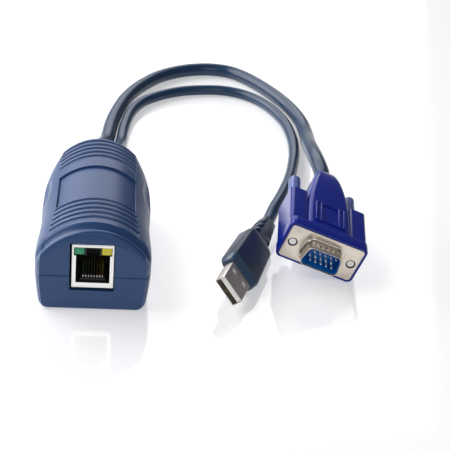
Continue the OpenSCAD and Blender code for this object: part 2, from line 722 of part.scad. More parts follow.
// D outline, wide side down, corners rounded
dshell_slope = 10;
dshell_r = 2.4;
corner_turns = [0, 0.2, 0.4, 0.6, 0.8, 1];
function d_corner(x, z, r, from, to) = [for (t = corner_turns) let (a = from + (to - from) * t)
    [x + r * cos(a), z + r * sin(a)]];
module d_outline(w, h, r) {
    narrow = w / 2 - h * tan(dshell_slope);
    top_x = narrow - r * (1 - sin(dshell_slope)) / cos(dshell_slope);
    low_x = w / 2 - r * (1 + sin(dshell_slope)) / cos(dshell_slope);
    right = concat(
        d_corner(low_x, -h / 2 + r, r, -90, dshell_slope),
        d_corner(top_x, h / 2 - r, r, dshell_slope, 90));
    polygon(concat(right, [for (i = [len(right) - 1 : -1 : 0]) [-right[i][0], right[i][1]]]));
}

module hood_plan() {
    side = [for (p = hood_width_shares) [p[1] * neck_w / 2, rim_y + p[0] * (hood_len - rim_y)]];
    left = [for (i = [len(side) - 1 : -1 : 0]) [-side[i][0], side[i][1]]];
    polygon(concat(side, left));
}
module hood_side() {
    top = [for (p = hood_height_shares) [rim_y + p[0] * (hood_len - rim_y), p[1] * neck_h / 2]];
    foot = [for (i = [len(top) - 1 : -1 : 0]) [top[i][0], -top[i][1]]];
    polygon(concat(top, foot));
}
module hood_grip() {
    z = neck_h / 2 - grip_raise;
    for (s = [-1, 1], k = [0 : grip_bars / 2 - 1])
        translate([s * (grip_w_top / 2 - k * 2 * grip_bar) - grip_bar / 2, grip_y, z])
            cube([grip_bar, grip_top_len, 2 * grip_raise]);
    for (y = [grip_y, grip_y + grip_top_len - grip_bar]) translate([-grip_w_top / 2, y, z])
        cube([grip_w_top, grip_bar, 2 * grip_raise]);
}
module video_hood() color("#16267e") at_video_plug() {
    difference() {
        union() {
            along_y(rim_y, block_len) rounded_rect(hood_w, hood_h, hood_r);
            for (s = [-1, 1]) translate([s * (hood_w - ear_w) / 2, 0, 0])
                along_y(block_len - over, ear_len - block_len + over) rounded_rect(ear_w, ear_h, ear_r);
            intersection() {
                translate([0, 0, -neck_h / 2]) linear_extrude(neck_h) hood_plan();
                translate([-neck_w / 2, 0, 0]) rotate([90, 0, 90]) linear_extrude(neck_w) hood_side();
            }
            hood_grip();
        }
        along_y(-over, flange_t + over) square([flange_w + 2 * fit_gap, flange_h + 2 * fit_gap], center = true);
        along_y(0, insulator_len) square([dshell_w + 2, dshell_h + 1], center = true);
        for (s = [-1, 1]) translate([s * hole_spacing / 2, 0, 0]) {
            rod_y(bore_d, 0, ear_len + over);
            rod_y(chamber_d, chamber_y, chamber_len);
            rod_y(knob_hole_d, knob_hole_y, ear_len - knob_hole_y + over);
        }
    }
}
dshell_t = 0.4;
module video_front_shell() color("#cdcbc4") at_video_plug() {
    difference() {
        union() {
            along_y(0, flange_t) rounded_rect(flange_w, flange_h, hood_r - hood_rim);
            along_y(-dshell_len, dshell_len + flange_t) d_outline(dshell_w, dshell_h, dshell_r);
        }
        along_y(-dshell_len - over, dshell_len + flange_t + 2 * over)
            d_outline(dshell_w - 2 * dshell_t, dshell_h - 2 * dshell_t, dshell_r - dshell_t);
        for (s = [-1, 1]) translate([s * hole_spacing / 2, 0, 0]) rod_y(bore_d, -over, flange_t + 2 * over);
    }
}
pin_gap = 0.04;
video_pin_d = 0.8;
pin_front = 4.8;
pin_back = 9;
row_step = 2.15;
column_step = 2.29;
columns = 5;
module each_pin() {
    for (r = [-1 : 1], k = [0 : columns - 1])
        translate([(k - (columns - 1) / 2) * column_step + (r == 0 ? -1 : 1) * column_step / 4, 0, r * row_step]) children();
}
module video_insulator() color("#1262ae") at_video_plug() {
    difference() {
        along_y(insulator_back, insulator_len - insulator_back - fit_gap)
            d_outline(dshell_w - 2 * dshell_t - 2 * pin_gap, dshell_h - 2 * dshell_t - 2 * pin_gap, dshell_r - dshell_t);
        each_pin() rod_y(video_pin_d + 2 * pin_gap, -over, insulator_len + 2 * over);
    }
}
module video_pins() color("#d6cfae") at_video_plug()
    each_pin() rod_y(video_pin_d, -pin_front, pin_front + insulator_len - fit_gap);

// Thumbscrew at rest: drawn back, its tip level with the flange
tip_y = 0.3;
groove_y = chamber_y + chamber_len - retainer_len - 3 * fit_gap;
socket_in_knob = 8;
knob_y = knob_hole_y + screw_travel + 4 * fit_gap;
knob_flutes = 12;
flute_d = 0.7;
knob_collar = 2;
module knob_piece(side) at_video_plug() translate([side * hole_spacing / 2, 0, 0]) {
    difference() {
        rod_y(knob_d, knob_y, knob_len);
        rod_y(thread_d, knob_y - over, socket_in_knob + over);
        for (k = [0 : knob_flutes - 1]) rotate([0, 360 * k / knob_flutes, 0]) translate([knob_d / 2 + flute_d / 6, 0, 0])
            rod_y(flute_d, knob_y + screw_travel + knob_collar, knob_len);
    }
}
module jackscrew_piece(side) at_video_plug() translate([side * hole_spacing / 2, 0, 0]) {
    rod_y(thread_d, tip_y, groove_y - tip_y - fit_gap);
    rod_y(neck_d, groove_y - 2 * fit_gap, retainer_len + 4 * fit_gap);
    rod_y(thread_d, groove_y + retainer_len + fit_gap, knob_y + socket_in_knob - groove_y - retainer_len - fit_gap);
}
module retainer_piece(side) at_video_plug() translate([side * hole_spacing / 2, 0, 0]) difference() {
    rod_y(chamber_d - 2 * run_gap, groove_y, retainer_len);
    rod_y(neck_d + 2 * run_gap, groove_y - over, retainer_len + 2 * over);
}
module left_knob() color("#b9c4e6") knob_piece(-1);
module left_jackscrew() color("#d9d9d6") jackscrew_piece(-1);
module left_retainer() color("#9a9da3") retainer_piece(-1);
module right_knob() color("#b9c4e6") knob_piece(1);
module right_jackscrew() color("#d9d9d6") jackscrew_piece(1);
module right_retainer() color("#9a9da3") retainer_piece(1);

// Serial plug, mouth at y = 0, grip behind it
nose_len = 3.5;
waist_w = 14.6;
heel_len = 2;
relief_root_w = 10.4;
relief_root_h = 7;
relief_tip_d = serial_cord_d + 1;
notch_n = 3;
notch_w = 1.5;
core_w = 5.4;
shell_in = 6.5;
slice_t = 0.2;
module slice(y, w, h, r) {
    along_y(y, slice_t) rounded_rect(w, h, r, $fn = 24);
}
module serial_grip() color("#222f52") at_serial_plug() {
    grip_end = shell_out + grip_len;
    difference() {
        union() {
            hull() {
                slice(shell_out, grip_w - nose_r, nose_h, nose_r);
                slice(shell_out + nose_len, grip_w, grip_h, grip_r);
            }
            hull() {
                slice(shell_out + nose_len, grip_w, grip_h, grip_r);
                slice(grip_end - heel_len, waist_w, grip_h, grip_r);
            }
            hull() {
                slice(grip_end - heel_len, waist_w, grip_h, grip_r);
                slice(grip_end - slice_t, waist_w - heel_len, grip_h - heel_len / 2, grip_r);
            }
            hull() {
                slice(grip_end - slice_t, relief_root_w, relief_root_h, nose_r);
                slice(grip_end + relief_len - slice_t, relief_tip_d, relief_tip_d, nose_r);
            }
        }
        along_y(shell_out - over, shell_in + over) square([shell_w + fit_gap, shell_h + fit_gap], center = true);
        for (s = [-1, 1], k = [0 : notch_n - 1])
            translate([s > 0 ? core_w / 2 : -core_w / 2 - relief_root_w, grip_end + (k + 0.25) * relief_len / (notch_n + 1), -relief_root_h])
                cube([relief_root_w, notch_w, 2 * relief_root_h]);
    }
}
shell_r = 0.6;
window_w = 2.5;
window_len = 2.2;
window_x = 3.2;
window_y = 7.4;
module serial_shell() color("#b9b6b0") at_serial_plug() {
    difference() {
        along_y(0, shell_out + shell_in - fit_gap) rounded_rect(shell_w, shell_h, shell_r);
        along_y(-over, shell_out + shell_in + 2 * over) rounded_rect(shell_w - 2 * shell_t, shell_h - 2 * shell_t, shell_r - shell_t);
        for (s = [-1, 1]) translate([s * window_x - window_w / 2, window_y, -shell_h]) cube([window_w, window_len, 2 * shell_h]);
    }
}
tongue_h = 1.9;
tongue_y = 0.3;
pad_w = 1;
pad_t = 0.15;
pad_len = 7.4;
pad_step = 2.4;
pad_start = 1.6;
module serial_tongue() color("#ece9e2") at_serial_plug() {
    inner_w = shell_w - 2 * shell_t - 2 * pin_gap;
    inner_h = shell_h - 2 * shell_t - 2 * pin_gap;
    intersection() {
        along_y(tongue_y, shell_out + shell_in - 2 * fit_gap - tongue_y) rounded_rect(inner_w, inner_h, shell_r - shell_t);
        union() {
            box_at([-inner_w / 2, tongue_y, inner_h / 2 - tongue_h], [inner_w, shell_out, tongue_h]);
            box_at([-inner_w / 2, shell_out, -inner_h / 2], [inner_w, shell_in, inner_h]);
        }
    }
}
module serial_contacts() color("#d9b65a") at_serial_plug() {
    inner_h = shell_h - 2 * shell_t - 2 * pin_gap;
    for (k = [0 : 3]) translate([(k - 1.5) * pad_step - pad_w / 2, pad_start, inner_h / 2 - tongue_h - pad_t])
        cube([pad_w, pad_len, pad_t]);
}

// Routes of the two cords, in millimetres, from the strain relief to the plug
video_start = [-video_exit_x, rear_y + gland_len, part_z];
video_end = [video_x, video_y, video_z] + hood_len * video_axis;
video_route = concat([video_start], [
    [-4.5, 61, 14], [-4.1, 69, 12.8], [-3.1, 77.5, 10.6], [-1.6, 86, 7.9], [0.3, 94.3, 5.5],
    [1.7, 101.3, 3.9], [2.6, 108.3, 3.5], [3.4, 118.3, 3.4], [4.9, 130.3, 3.4], [7.2, 142.3, 3.4],
    [10.2, 154.3, 3.4], [14.4, 165.8, 3.4], [20, 176.8, 3.4], [27.5, 187.8, 3.4], [36.5, 195.8, 3.4],
    [46, 200.8, 3.4], [56.5, 202.8, 3.4], [66.5, 200.3, 3.4], [74.5, 192.8, 3.4], [81.5, 182.3, 3.4],
    [87.6, 170.8, 3.4], [92.8, 158.3, 3.4], [96.4, 145.8, 3.5], [98.3, 133.3, 3.9], [98.5, 121.3, 5],
    [97.8, 109.3, 7.3], [96.5, 97.3, 10.5], [95.3, 85, 14], [94.7, 73, 17], [94.6, 62, 19],
    [94.9, 52.5, 19.7]], [video_end + 6 * video_axis, video_end]);
serial_start = [serial_exit_x, rear_y + gland_len, part_z];
serial_end = [serial_x, serial_y, serial_z] + (shell_out + grip_len + relief_len) * serial_axis;
serial_route = concat([serial_start], [
    [6.5, 61, 14], [6.6, 69, 12.6], [6.9, 77.5, 10], [7.4, 86, 7.2], [8, 94.3, 4.8],
    [8.6, 101.3, 3.3], [9.1, 108.3, 2.7], [9.8, 118.3, 2.6], [11, 128.3, 2.6], [12.8, 138.3, 2.6],
    [15.6, 147.3, 2.6], [19.8, 155.3, 2.6], [25.6, 161.8, 2.6], [32.4, 167.3, 2.6], [40.4, 171.7, 2.6],
    [49.5, 174.3, 2.6], [60, 175.2, 2.6], [69.4, 172.3, 2.6], [77, 166.3, 2.6], [82.9, 157.7, 2.6],
    [87.2, 147.3, 2.6], [90.2, 136.3, 2.6], [91.6, 124.3, 2.6], [91.9, 111.3, 2.6], [90.9, 98.3, 2.8],
    [88.8, 85.3, 3.5], [86.5, 73.3, 4.6], [83.9, 61.8, 6], [81, 50.8, 7.4], [77.9, 40.3, 8.4],
    [74.6, 30.8, 8.9]], [serial_end + 6 * serial_axis, serial_end]);

// Sweeps a round tube along a route, one ring at each point, square to the bisector
function unit(v) = v / norm(v);
function heading(p, i) = i == 0 ? unit(p[1] - p[0]) : i == len(p) - 1 ? unit(p[i] - p[i - 1])
    : unit(unit(p[i + 1] - p[i]) + unit(p[i] - p[i - 1]));
function tube_ring(c, t, r, sides) = let (u = unit(cross(t, [0, 0, 1])), v = cross(u, t))
    [for (k = [0 : sides - 1]) let (a = 360 * k / sides) c + r * cos(a) * u + r * sin(a) * v];
module tube(route, d, sides) {
    n = len(route);
    points = [for (i = [0 : n - 1]) each tube_ring(route[i], heading(route, i), d / 2, sides)];
    faces = concat(
        [[for (j = [sides - 1 : -1 : 0]) j]],
        [for (i = [0 : n - 2], j = [0 : sides - 1])
            [i * sides + j, i * sides + (j + 1) % sides, (i + 1) * sides + (j + 1) % sides]],
        [for (i = [0 : n - 2], j = [0 : sides - 1])
            [i * sides + j, (i + 1) * sides + (j + 1) % sides, (i + 1) * sides + j]],
        [[for (j = [0 : sides - 1]) (n - 1) * sides + j]]);
    polyhedron(points = points, faces = faces, convexity = 8);
}
cord_sides = 12;
module video_cord() color("#3e5270") tube(video_route, video_cord_d, cord_sides);
module serial_cord() color("#3e5270") tube(serial_route, serial_cord_d, cord_sides);

upper_shell();
lower_shell();
case_screws();
circuit_board();
jack_shield();
jack_insert();
jack_contacts();
jack_pins();
lamp_green();
lamp_amber();
main_chip();
video_chip();
memory_chip();
crystal();
capacitors();
coils();
small_parts();
video_header();
serial_header();
video_wires();
serial_wires();
video_gland();
serial_gland();
video_cord();
serial_cord();
video_hood();
video_front_shell();
video_insulator();
video_pins();
left_knob();
left_jackscrew();
left_retainer();
right_knob();
right_jackscrew();
right_retainer();
serial_grip();
serial_shell();
serial_tongue();
serial_contacts();
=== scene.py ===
# Looks of a server interface module: a moulded housing with a network jack, and two leads
# that end in a video plug and a flat serial plug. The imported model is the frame.
import math

import bmesh
import bpy
from mathutils import Matrix, Vector


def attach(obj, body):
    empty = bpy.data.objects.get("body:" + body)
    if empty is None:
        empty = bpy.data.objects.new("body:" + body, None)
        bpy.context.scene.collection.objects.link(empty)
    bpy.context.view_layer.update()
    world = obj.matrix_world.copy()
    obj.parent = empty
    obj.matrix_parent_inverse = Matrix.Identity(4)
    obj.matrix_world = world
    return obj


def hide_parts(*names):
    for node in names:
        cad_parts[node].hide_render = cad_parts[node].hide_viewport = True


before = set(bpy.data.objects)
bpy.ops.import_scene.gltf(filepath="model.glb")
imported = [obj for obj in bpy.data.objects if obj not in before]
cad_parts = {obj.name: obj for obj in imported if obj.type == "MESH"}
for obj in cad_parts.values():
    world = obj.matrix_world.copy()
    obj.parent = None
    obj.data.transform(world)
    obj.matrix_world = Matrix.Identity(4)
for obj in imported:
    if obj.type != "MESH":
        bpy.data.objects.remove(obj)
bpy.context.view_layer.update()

# The photographer's camera stands in front of the jack and a little to its right,
# looks 28 degrees down and leans 5 degrees, with a long lens.
CAMERA_PLACE = Vector((0.0072, -0.4347, 0.2482))
CAMERA_PITCH = math.radians(28)
CAMERA_YAW = math.radians(5.76)
CAMERA_LEAN = math.radians(5.0)
CAMERA_LENS = 99.47

sight = Vector((math.sin(CAMERA_YAW) * math.cos(CAMERA_PITCH),
                math.cos(CAMERA_YAW) * math.cos(CAMERA_PITCH), -math.sin(CAMERA_PITCH)))
level_right = Vector((math.cos(CAMERA_YAW), -math.sin(CAMERA_YAW), 0))
level_up = level_right.cross(sight)
leaned_right = level_right * math.cos(CAMERA_LEAN) + level_up * math.sin(CAMERA_LEAN)
leaned_up = level_up * math.cos(CAMERA_LEAN) - level_right * math.sin(CAMERA_LEAN)
camera_data = bpy.data.cameras.new("camera")
camera_data.lens = CAMERA_LENS
camera_data.sensor_width = 36
camera_data.clip_start = 0.01
camera = bpy.data.objects.new("camera", camera_data)
camera.matrix_world = Matrix.Translation(CAMERA_PLACE) @ Matrix(
    (leaned_right, leaned_up, -sight)).transposed().to_4x4()
bpy.context.collection.objects.link(camera)
bpy.context.scene.camera = camera

# The two leads are round cords in a satin navy jacket. They leave the rear wall side by
# side, sink to the table, run out in one loop each and come back to their plugs.
VIDEO_CORD_D = 0.0068
SERIAL_CORD_D = 0.0052
MM = 0.001
REAR_Y = 41
GLAND_LEN = 14
SEAM_Z = 14
VIDEO_EXIT_X = -4.5
SERIAL_EXIT_X = 6.5


def turned(yaw, pitch, roll):
    return (Matrix.Rotation(math.radians(yaw), 3, "Z") @ Matrix.Rotation(math.radians(pitch), 3, "X")
            @ Matrix.Rotation(math.radians(roll), 3, "Y"))


TABLE_GAP = 0.05


def resting_height(w, h, r, pitch, roll):
    """How high the axis of a rounded block lies when one long edge of it rests on the table."""
    lean = math.radians(roll)
    edge = (w / 2 - r) * math.sin(lean) + (h / 2 - r) * math.cos(lean) + r
    return math.cos(math.radians(pitch)) * edge + TABLE_GAP


HOOD_W = 33.2
HOOD_H = 17.6
HOOD_R = 2.4
HOOD_LEN = 54
VIDEO_YAW = -6.6
VIDEO_PITCH = 6
VIDEO_ROLL = 19
VIDEO_TILT = turned(VIDEO_YAW, VIDEO_PITCH, VIDEO_ROLL)
VIDEO_PLACE = Vector((88.4, -14.8, resting_height(HOOD_W, HOOD_H, HOOD_R, VIDEO_PITCH, VIDEO_ROLL)))
VIDEO_AXIS = VIDEO_TILT @ Vector((0, 1, 0))
GRIP_W = 16.4
GRIP_H = 8.4
GRIP_R = 2
SERIAL_YAW = -19.2
SERIAL_ROLL = 50.5
SERIAL_TILT = turned(SERIAL_YAW, 0, SERIAL_ROLL)
SERIAL_PLACE = Vector((50.8, -37.9, resting_height(GRIP_W, GRIP_H, GRIP_R, 0, SERIAL_ROLL)))
SERIAL_AXIS = SERIAL_TILT @ Vector((0, 1, 0))
SERIAL_LEN = 58
RUN_IN = 6

video_end = VIDEO_PLACE + HOOD_LEN * VIDEO_AXIS
serial_end = SERIAL_PLACE + SERIAL_LEN * SERIAL_AXIS
VIDEO_ROUTE = [(VIDEO_EXIT_X, REAR_Y + GLAND_LEN, SEAM_Z),
    (-4.5, 61, 14), (-4.1, 69, 12.8), (-3.1, 77.5, 10.6), (-1.6, 86, 7.9), (0.3, 94.3, 5.5),
    (1.7, 101.3, 3.9), (2.6, 108.3, 3.5), (3.4, 118.3, 3.4), (4.9, 130.3, 3.4), (7.2, 142.3, 3.4),
    (10.2, 154.3, 3.4), (14.4, 165.8, 3.4), (20, 176.8, 3.4), (27.5, 187.8, 3.4), (36.5, 195.8, 3.4),
    (46, 200.8, 3.4), (56.5, 202.8, 3.4), (66.5, 200.3, 3.4), (74.5, 192.8, 3.4), (81.5, 182.3, 3.4),
    (87.6, 170.8, 3.4), (92.8, 158.3, 3.4), (96.4, 145.8, 3.5), (98.3, 133.3, 3.9), (98.5, 121.3, 5),
    (97.8, 109.3, 7.3), (96.5, 97.3, 10.5), (95.3, 85, 14), (94.7, 73, 17), (94.6, 62, 19),
    (94.9, 52.5, 19.7), tuple(video_end + RUN_IN * VIDEO_AXIS), tuple(video_end)]
SERIAL_ROUTE = [(SERIAL_EXIT_X, REAR_Y + GLAND_LEN, SEAM_Z),
    (6.5, 61, 14), (6.6, 69, 12.6), (6.9, 77.5, 10), (7.4, 86, 7.2), (8, 94.3, 4.8),
    (8.6, 101.3, 3.3), (9.1, 108.3, 2.7), (9.8, 118.3, 2.6), (11, 128.3, 2.6), (12.8, 138.3, 2.6),
    (15.6, 147.3, 2.6), (19.8, 155.3, 2.6), (25.6, 161.8, 2.6), (32.4, 167.3, 2.6), (40.4, 171.7, 2.6),
    (49.5, 174.3, 2.6), (60, 175.2, 2.6), (69.4, 172.3, 2.6), (77, 166.3, 2.6), (82.9, 157.7, 2.6),
    (87.2, 147.3, 2.6), (90.2, 136.3, 2.6), (91.6, 124.3, 2.6), (91.9, 111.3, 2.6), (90.9, 98.3, 2.8),
    (88.8, 85.3, 3.5), (86.5, 73.3, 4.6), (83.9, 61.8, 6), (81, 50.8, 7.4), (77.9, 40.3, 8.4),
    (74.6, 30.8, 8.9), tuple(serial_end + RUN_IN * SERIAL_AXIS), tuple(serial_end)]


def mottled(name, grain_detail, cloud_scale, cloud_detail, gloss_by):
    """A fine grain over a slow, uneven tone. gloss_by says which of the two varies the gloss."""
    tree = bpy.data.node_groups.new(name, "ShaderNodeTree")
    for title, kind in (("Tone", "Color"), ("Worn Tone", "Color"), ("Grain Scale", "Float"),
                        ("Matt", "Float"), ("Matt Spread", "Float")):
        tree.interface.new_socket(name=title, in_out="INPUT", socket_type="NodeSocket" + kind)
    for title, kind in (("Color", "Color"), ("Roughness", "Float"), ("Height", "Float")):
        tree.interface.new_socket(name=title, in_out="OUTPUT", socket_type="NodeSocket" + kind)
    node = tree.nodes.new
    link = tree.links.new
    given = node("NodeGroupInput")
    out = node("NodeGroupOutput")
    place = node("ShaderNodeTexCoord")
    noise = {}
    for kind, detail in (("grain", grain_detail), ("cloud", cloud_detail)):
        noise[kind] = node("ShaderNodeTexNoise")
        noise[kind].inputs["Detail"].default_value = detail
        link(place.outputs["Object"], noise[kind].inputs["Vector"])
    noise["cloud"].inputs["Scale"].default_value = cloud_scale
    link(given.outputs["Grain Scale"], noise["grain"].inputs["Scale"])
    tone = node("ShaderNodeMix")
    tone.data_type = "RGBA"
    link(noise["cloud"].outputs["Fac"], tone.inputs["Factor"])
    link(given.outputs["Tone"], tone.inputs["A"])
    link(given.outputs["Worn Tone"], tone.inputs["B"])
    shift = node("ShaderNodeMath")
    shift.operation = "SUBTRACT"
    link(noise[gloss_by].outputs["Fac"], shift.inputs[0])
    shift.inputs[1].default_value = 0.5
    rough = node("ShaderNodeMath")
    rough.operation = "MULTIPLY_ADD"
    link(shift.outputs[0], rough.inputs[0])
    link(given.outputs["Matt Spread"], rough.inputs[1])
    link(given.outputs["Matt"], rough.inputs[2])
    link(tone.outputs["Result"], out.inputs["Color"])
    link(rough.outputs[0], out.inputs["Roughness"])
    link(noise["grain"].outputs["Fac"], out.inputs["Height"])
    return tree


def surfaced(name, group_tree, tone, worn, matt, spread, grain, lift, strength):
    """A material and its shader, with tone, gloss and fine relief from a shared group."""
    made = bpy.data.materials.new(name)
    made.use_nodes = True
    nodes = made.node_tree.nodes
    link = made.node_tree.links.new
    shader = nodes["Principled BSDF"]
    group = nodes.new("ShaderNodeGroup")
    group.node_tree = group_tree
    group.inputs["Tone"].default_value = (*tone, 1)
    group.inputs["Worn Tone"].default_value = (*worn, 1)
    group.inputs["Grain Scale"].default_value = grain
    group.inputs["Matt"].default_value = matt
    group.inputs["Matt Spread"].default_value = spread
    bump = nodes.new("ShaderNodeBump")
    bump.inputs["Distance"].default_value = lift
    bump.inputs["Strength"].default_value = strength
    link(group.outputs["Height"], bump.inputs["Height"])
    link(group.outputs["Color"], shader.inputs["Base Color"])
    link(group.outputs["Roughness"], shader.inputs["Roughness"])
    link(bump.outputs["Normal"], shader.inputs["Normal"])
    return made, shader


MOULDED_GRAIN = mottled("moulded_grain", 3, 90, 4, "cloud")
PLASTIC_BUMP = 0.6


def plastic(name, tone, worn, matt, spread=0.1, grain=2500, lift=0.00002,
            coat=0.0, coat_matt=0.1, sheen=0.5):
    made, shader = surfaced(name, MOULDED_GRAIN, tone, worn, matt, spread, grain, lift, PLASTIC_BUMP)
    shader.inputs["Specular IOR Level"].default_value = sheen
    shader.inputs["Coat Weight"].default_value = coat
    shader.inputs["Coat Roughness"].default_value = coat_matt
    return made


def dress(node, material):
    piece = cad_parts[node]
    piece.data.materials.clear()
    piece.data.materials.append(material)


jacket = plastic("cord_jacket", (0.008, 0.032, 0.078), (0.012, 0.040, 0.094), 0.3, lift=0.00001, sheen=0.42)


def laid_cord(name, route, diameter):
    curve = bpy.data.curves.new(name, "CURVE")
    curve.dimensions = "3D"
    curve.bevel_depth = diameter / 2
    curve.bevel_resolution = 8
    curve.resolution_u = 10
    curve.use_fill_caps = True
    line = curve.splines.new("BEZIER")
    line.bezier_points.add(len(route) - 1)
    points = [Vector(p) * MM for p in route]
    for k, knot in enumerate(line.bezier_points):
        ahead = points[min(k + 1, len(points) - 1)]
        behind = points[max(k - 1, 0)]
        along = (ahead - behind).normalized()
        reach_in = (points[k] - behind).length / 3
        reach_out = (ahead - points[k]).length / 3
        knot.co = points[k]
        knot.handle_left_type = "FREE"
        knot.handle_right_type = "FREE"
        knot.handle_left = points[k] - along * reach_in
        knot.handle_right = points[k] + along * reach_out
    piece = bpy.data.objects.new(name, curve)
    bpy.context.collection.objects.link(piece)
    curve.materials.append(jacket)
    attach(piece, "housing")
    return piece


# Each lead is held by a strain relief that is moulded on it in softer navy vinyl: a flange
# behind the rear wall, and a ringed taper that leaves it.
relief_vinyl = plastic("relief_vinyl", (0.010, 0.034, 0.078), (0.014, 0.042, 0.092), 0.38, sheen=0.4)
for node in ("video_gland", "serial_gland"):
    dress(node, relief_vinyl)

# The housing is two shells moulded in blue-grey satin plastic. The upper one is arched,
# with two bands of grip grooves, a bare sunk panel between them, and finger scoops in its
# flanks. The lower one is a plain tray; they meet in a fine seam.
BODY_LEN = 82
HOUSING_H = 33.4
HALF_W = 21.6
FRONT_Y = -41
ARCH_R = 24
CROWN_Z = HOUSING_H - ARCH_R
FLANK_Z = 17
SHELL_WALL = 2
CORNER_R = 2.6
REAR_BOW = 5
SEAM = 0.35
GROOVE_W = 1.9
GROOVE_D = 0.75
GROOVE_FLAT = 1.35
GROOVE_STEP = 3.55
GROOVES = [first + k * GROOVE_STEP for first in (10.7, 63.4) for k in range(5)]
PANEL_FROM = 26.1
PANEL_TO = 54.2
PANEL_D = 0.8
PANEL_RISE = 1
PANEL_FALL = 0.12
COVE_LEN = 6.6
COVE_D = 1.9
CREASE_W = 0.35
TAIL_FROM = 79.2
FOOT_SHARE = 0.955
TOE_LEN = 0.9
TOE_LIFT = 0.5
HEEL_LEN = 1.4
HEEL_LIFT = 0.6
plan_shares = [(0, 0.9), (0.02, 0.95), (0.05, 0.98), (0.11, 1), (0.19, 0.995), (0.29, 0.975),
               (0.4, 0.965), (0.5, 0.975), (0.64, 0.99), (0.75, 0.985), (0.84, 0.965), (0.91, 0.925),
               (0.96, 0.86), (0.985, 0.82), (1, 0.78)]
crease_shares = [(0, 0.892), (0.03, 0.88), (0.07, 0.84), (0.1, 0.79), (0.18, 0.75),
                 (0.28, 0.715), (0.32, 0.7), (0.64, 0.7), (0.72, 0.715), (0.94, 0.7), (1, 0.66)]
bow_shares = [(0, 0), (0.3, 0), (0.45, 0.35), (0.6, 0.8), (0.72, 1), (1, 1)]
cove_shares = [(0, 0.9), (0.05, 0.62), (0.14, 0.44), (0.26, 0.38), (0.37, 0.46), (0.44, 0.66),
               (0.48, 0.92), (0.55, 1), (0.66, 0.92), (0.8, 0.6), (0.92, 0.2), (1, 0)]
tail_shares = [(0.965, 0), (0.98, 0.35), (0.99, 0.9), (1, 1.9)]


def eased(table, s):
    """Reads a table of shares along a smooth curve that never overshoots its entries."""
    if s <= table[0][0]:
        return table[0][1]
    if s >= table[-1][0]:
        return table[-1][1]
    k = max(i for i in range(len(table) - 1) if table[i][0] <= s)

    def grade(i):
        return (table[i + 1][1] - table[i][1]) / (table[i + 1][0] - table[i][0])

    def slope(i):
        if i == 0 or i == len(table) - 1:
            return grade(min(i, len(table) - 2))
        before, after = grade(i - 1), grade(i)
        return 0 if before * after <= 0 else 2 * before * after / (before + after)

    h = table[k + 1][0] - table[k][0]
    t = (s - table[k][0]) / h
    low, high = table[k][1], table[k + 1][1]
    return ((2 * t**3 - 3 * t**2 + 1) * low + (t**3 - 2 * t**2 + t) * h * slope(k)
            + (3 * t**2 - 2 * t**3) * high + (t**3 - t**2) * h * slope(k + 1))


def groove_depth(y):
    for middle in GROOVES:
        away = abs(y - middle) / (GROOVE_W / 2)
        if away < 1:
            return GROOVE_D * min(1, GROOVE_FLAT * (math.cos(math.pi * away) + 1) / 2)
    return 0


def panel_depth(y):
    if y < PANEL_FROM or y > PANEL_TO:
        return 0
    return PANEL_D * min(1, (y - PANEL_FROM) / PANEL_RISE, (PANEL_TO - y) / PANEL_FALL)


def top_cut(y):
    """How far the arch lies under its full radius, then how far its edges do."""
    if y < COVE_LEN:
        cut = COVE_D * eased(cove_shares, y / COVE_LEN)
        return cut, cut
    tail = GROOVE_D * eased(tail_shares, y / BODY_LEN)
    return groove_depth(y) + panel_depth(y) + tail, tail


def arched(x, radius):
    return CROWN_Z + math.sqrt(max(0, radius * radius - x * x))


ARCH_STEPS = 72
FLANK_STEPS = 12
TRAY_STEPS = 8


def seam_edge(w, z, up):
    """The rounded edge of one shell at the seam, from just inside it out to the flank."""
    return [(w - SEAM, z), (w - SEAM * 0.4, z + up * SEAM * 0.35), (w, z + up * SEAM)]


def upper_half(y, inset, foot):
    """One side of the upper shell's section at y, from its foot to the crown, and its half width."""
    s = y / BODY_LEN
    cut, edge_cut = (0, 0) if inset else top_cut(y)
    w = HALF_W * eased(plan_shares, s) - inset
    c = HALF_W * eased(crease_shares, s) - inset * 0.8
    c_z = arched(c, ARCH_R - inset - edge_cut)
    edge_x = c - CREASE_W
    edge_r = ARCH_R - inset - cut
    reach = math.asin(edge_x / edge_r)
    half = [(w, foot)] if inset else seam_edge(w, foot, 1)
    for k in range(FLANK_STEPS + 1):
        t = k / FLANK_STEPS
        half.append((w + (c - w) * t * t, FLANK_Z + (c_z - FLANK_Z) * t))
    half.append((c - CREASE_W * 0.5, c_z - (c_z - arched(edge_x, edge_r)) * 0.15))
    for k in range(ARCH_STEPS // 2 + 1):
        a = reach * (1 - 2 * k / ARCH_STEPS)
        half.append((edge_r * math.sin(a), CROWN_Z + edge_r * math.cos(a)))
    return half, w


def lower_half(y, inset, rim):
    """One side of the tray's section at y, from its rim to the bottom, and its half width."""
    w = HALF_W * eased(plan_shares, y / BODY_LEN) - inset
    foot = w * FOOT_SHARE
    r = max(CORNER_R - inset, 1)
    lift = 0
    if not inset:
        toe = max(0, 1 - y / TOE_LEN)
        heel = max(0, (y - (BODY_LEN - HEEL_LEN)) / HEEL_LEN)
        lift = TOE_LIFT * toe ** 2 + HEEL_LIFT * heel ** 2
    half = [(w, rim)] if inset else seam_edge(w, rim, -1)
    top = rim - SEAM
    for k in range(1, TRAY_STEPS + 1):
        t = k / TRAY_STEPS
        half.append((w - (w - foot) * t ** 1.6, top + (inset + r - top) * t))
    for k in range(1, TRAY_STEPS + 1):
        a = math.radians(90 * k / TRAY_STEPS)
        half.append((foot - r + r * math.cos(a), inset + lift + (r - lift) * (1 - math.sin(a))))
    half.append((0, inset + lift))
    return half, w


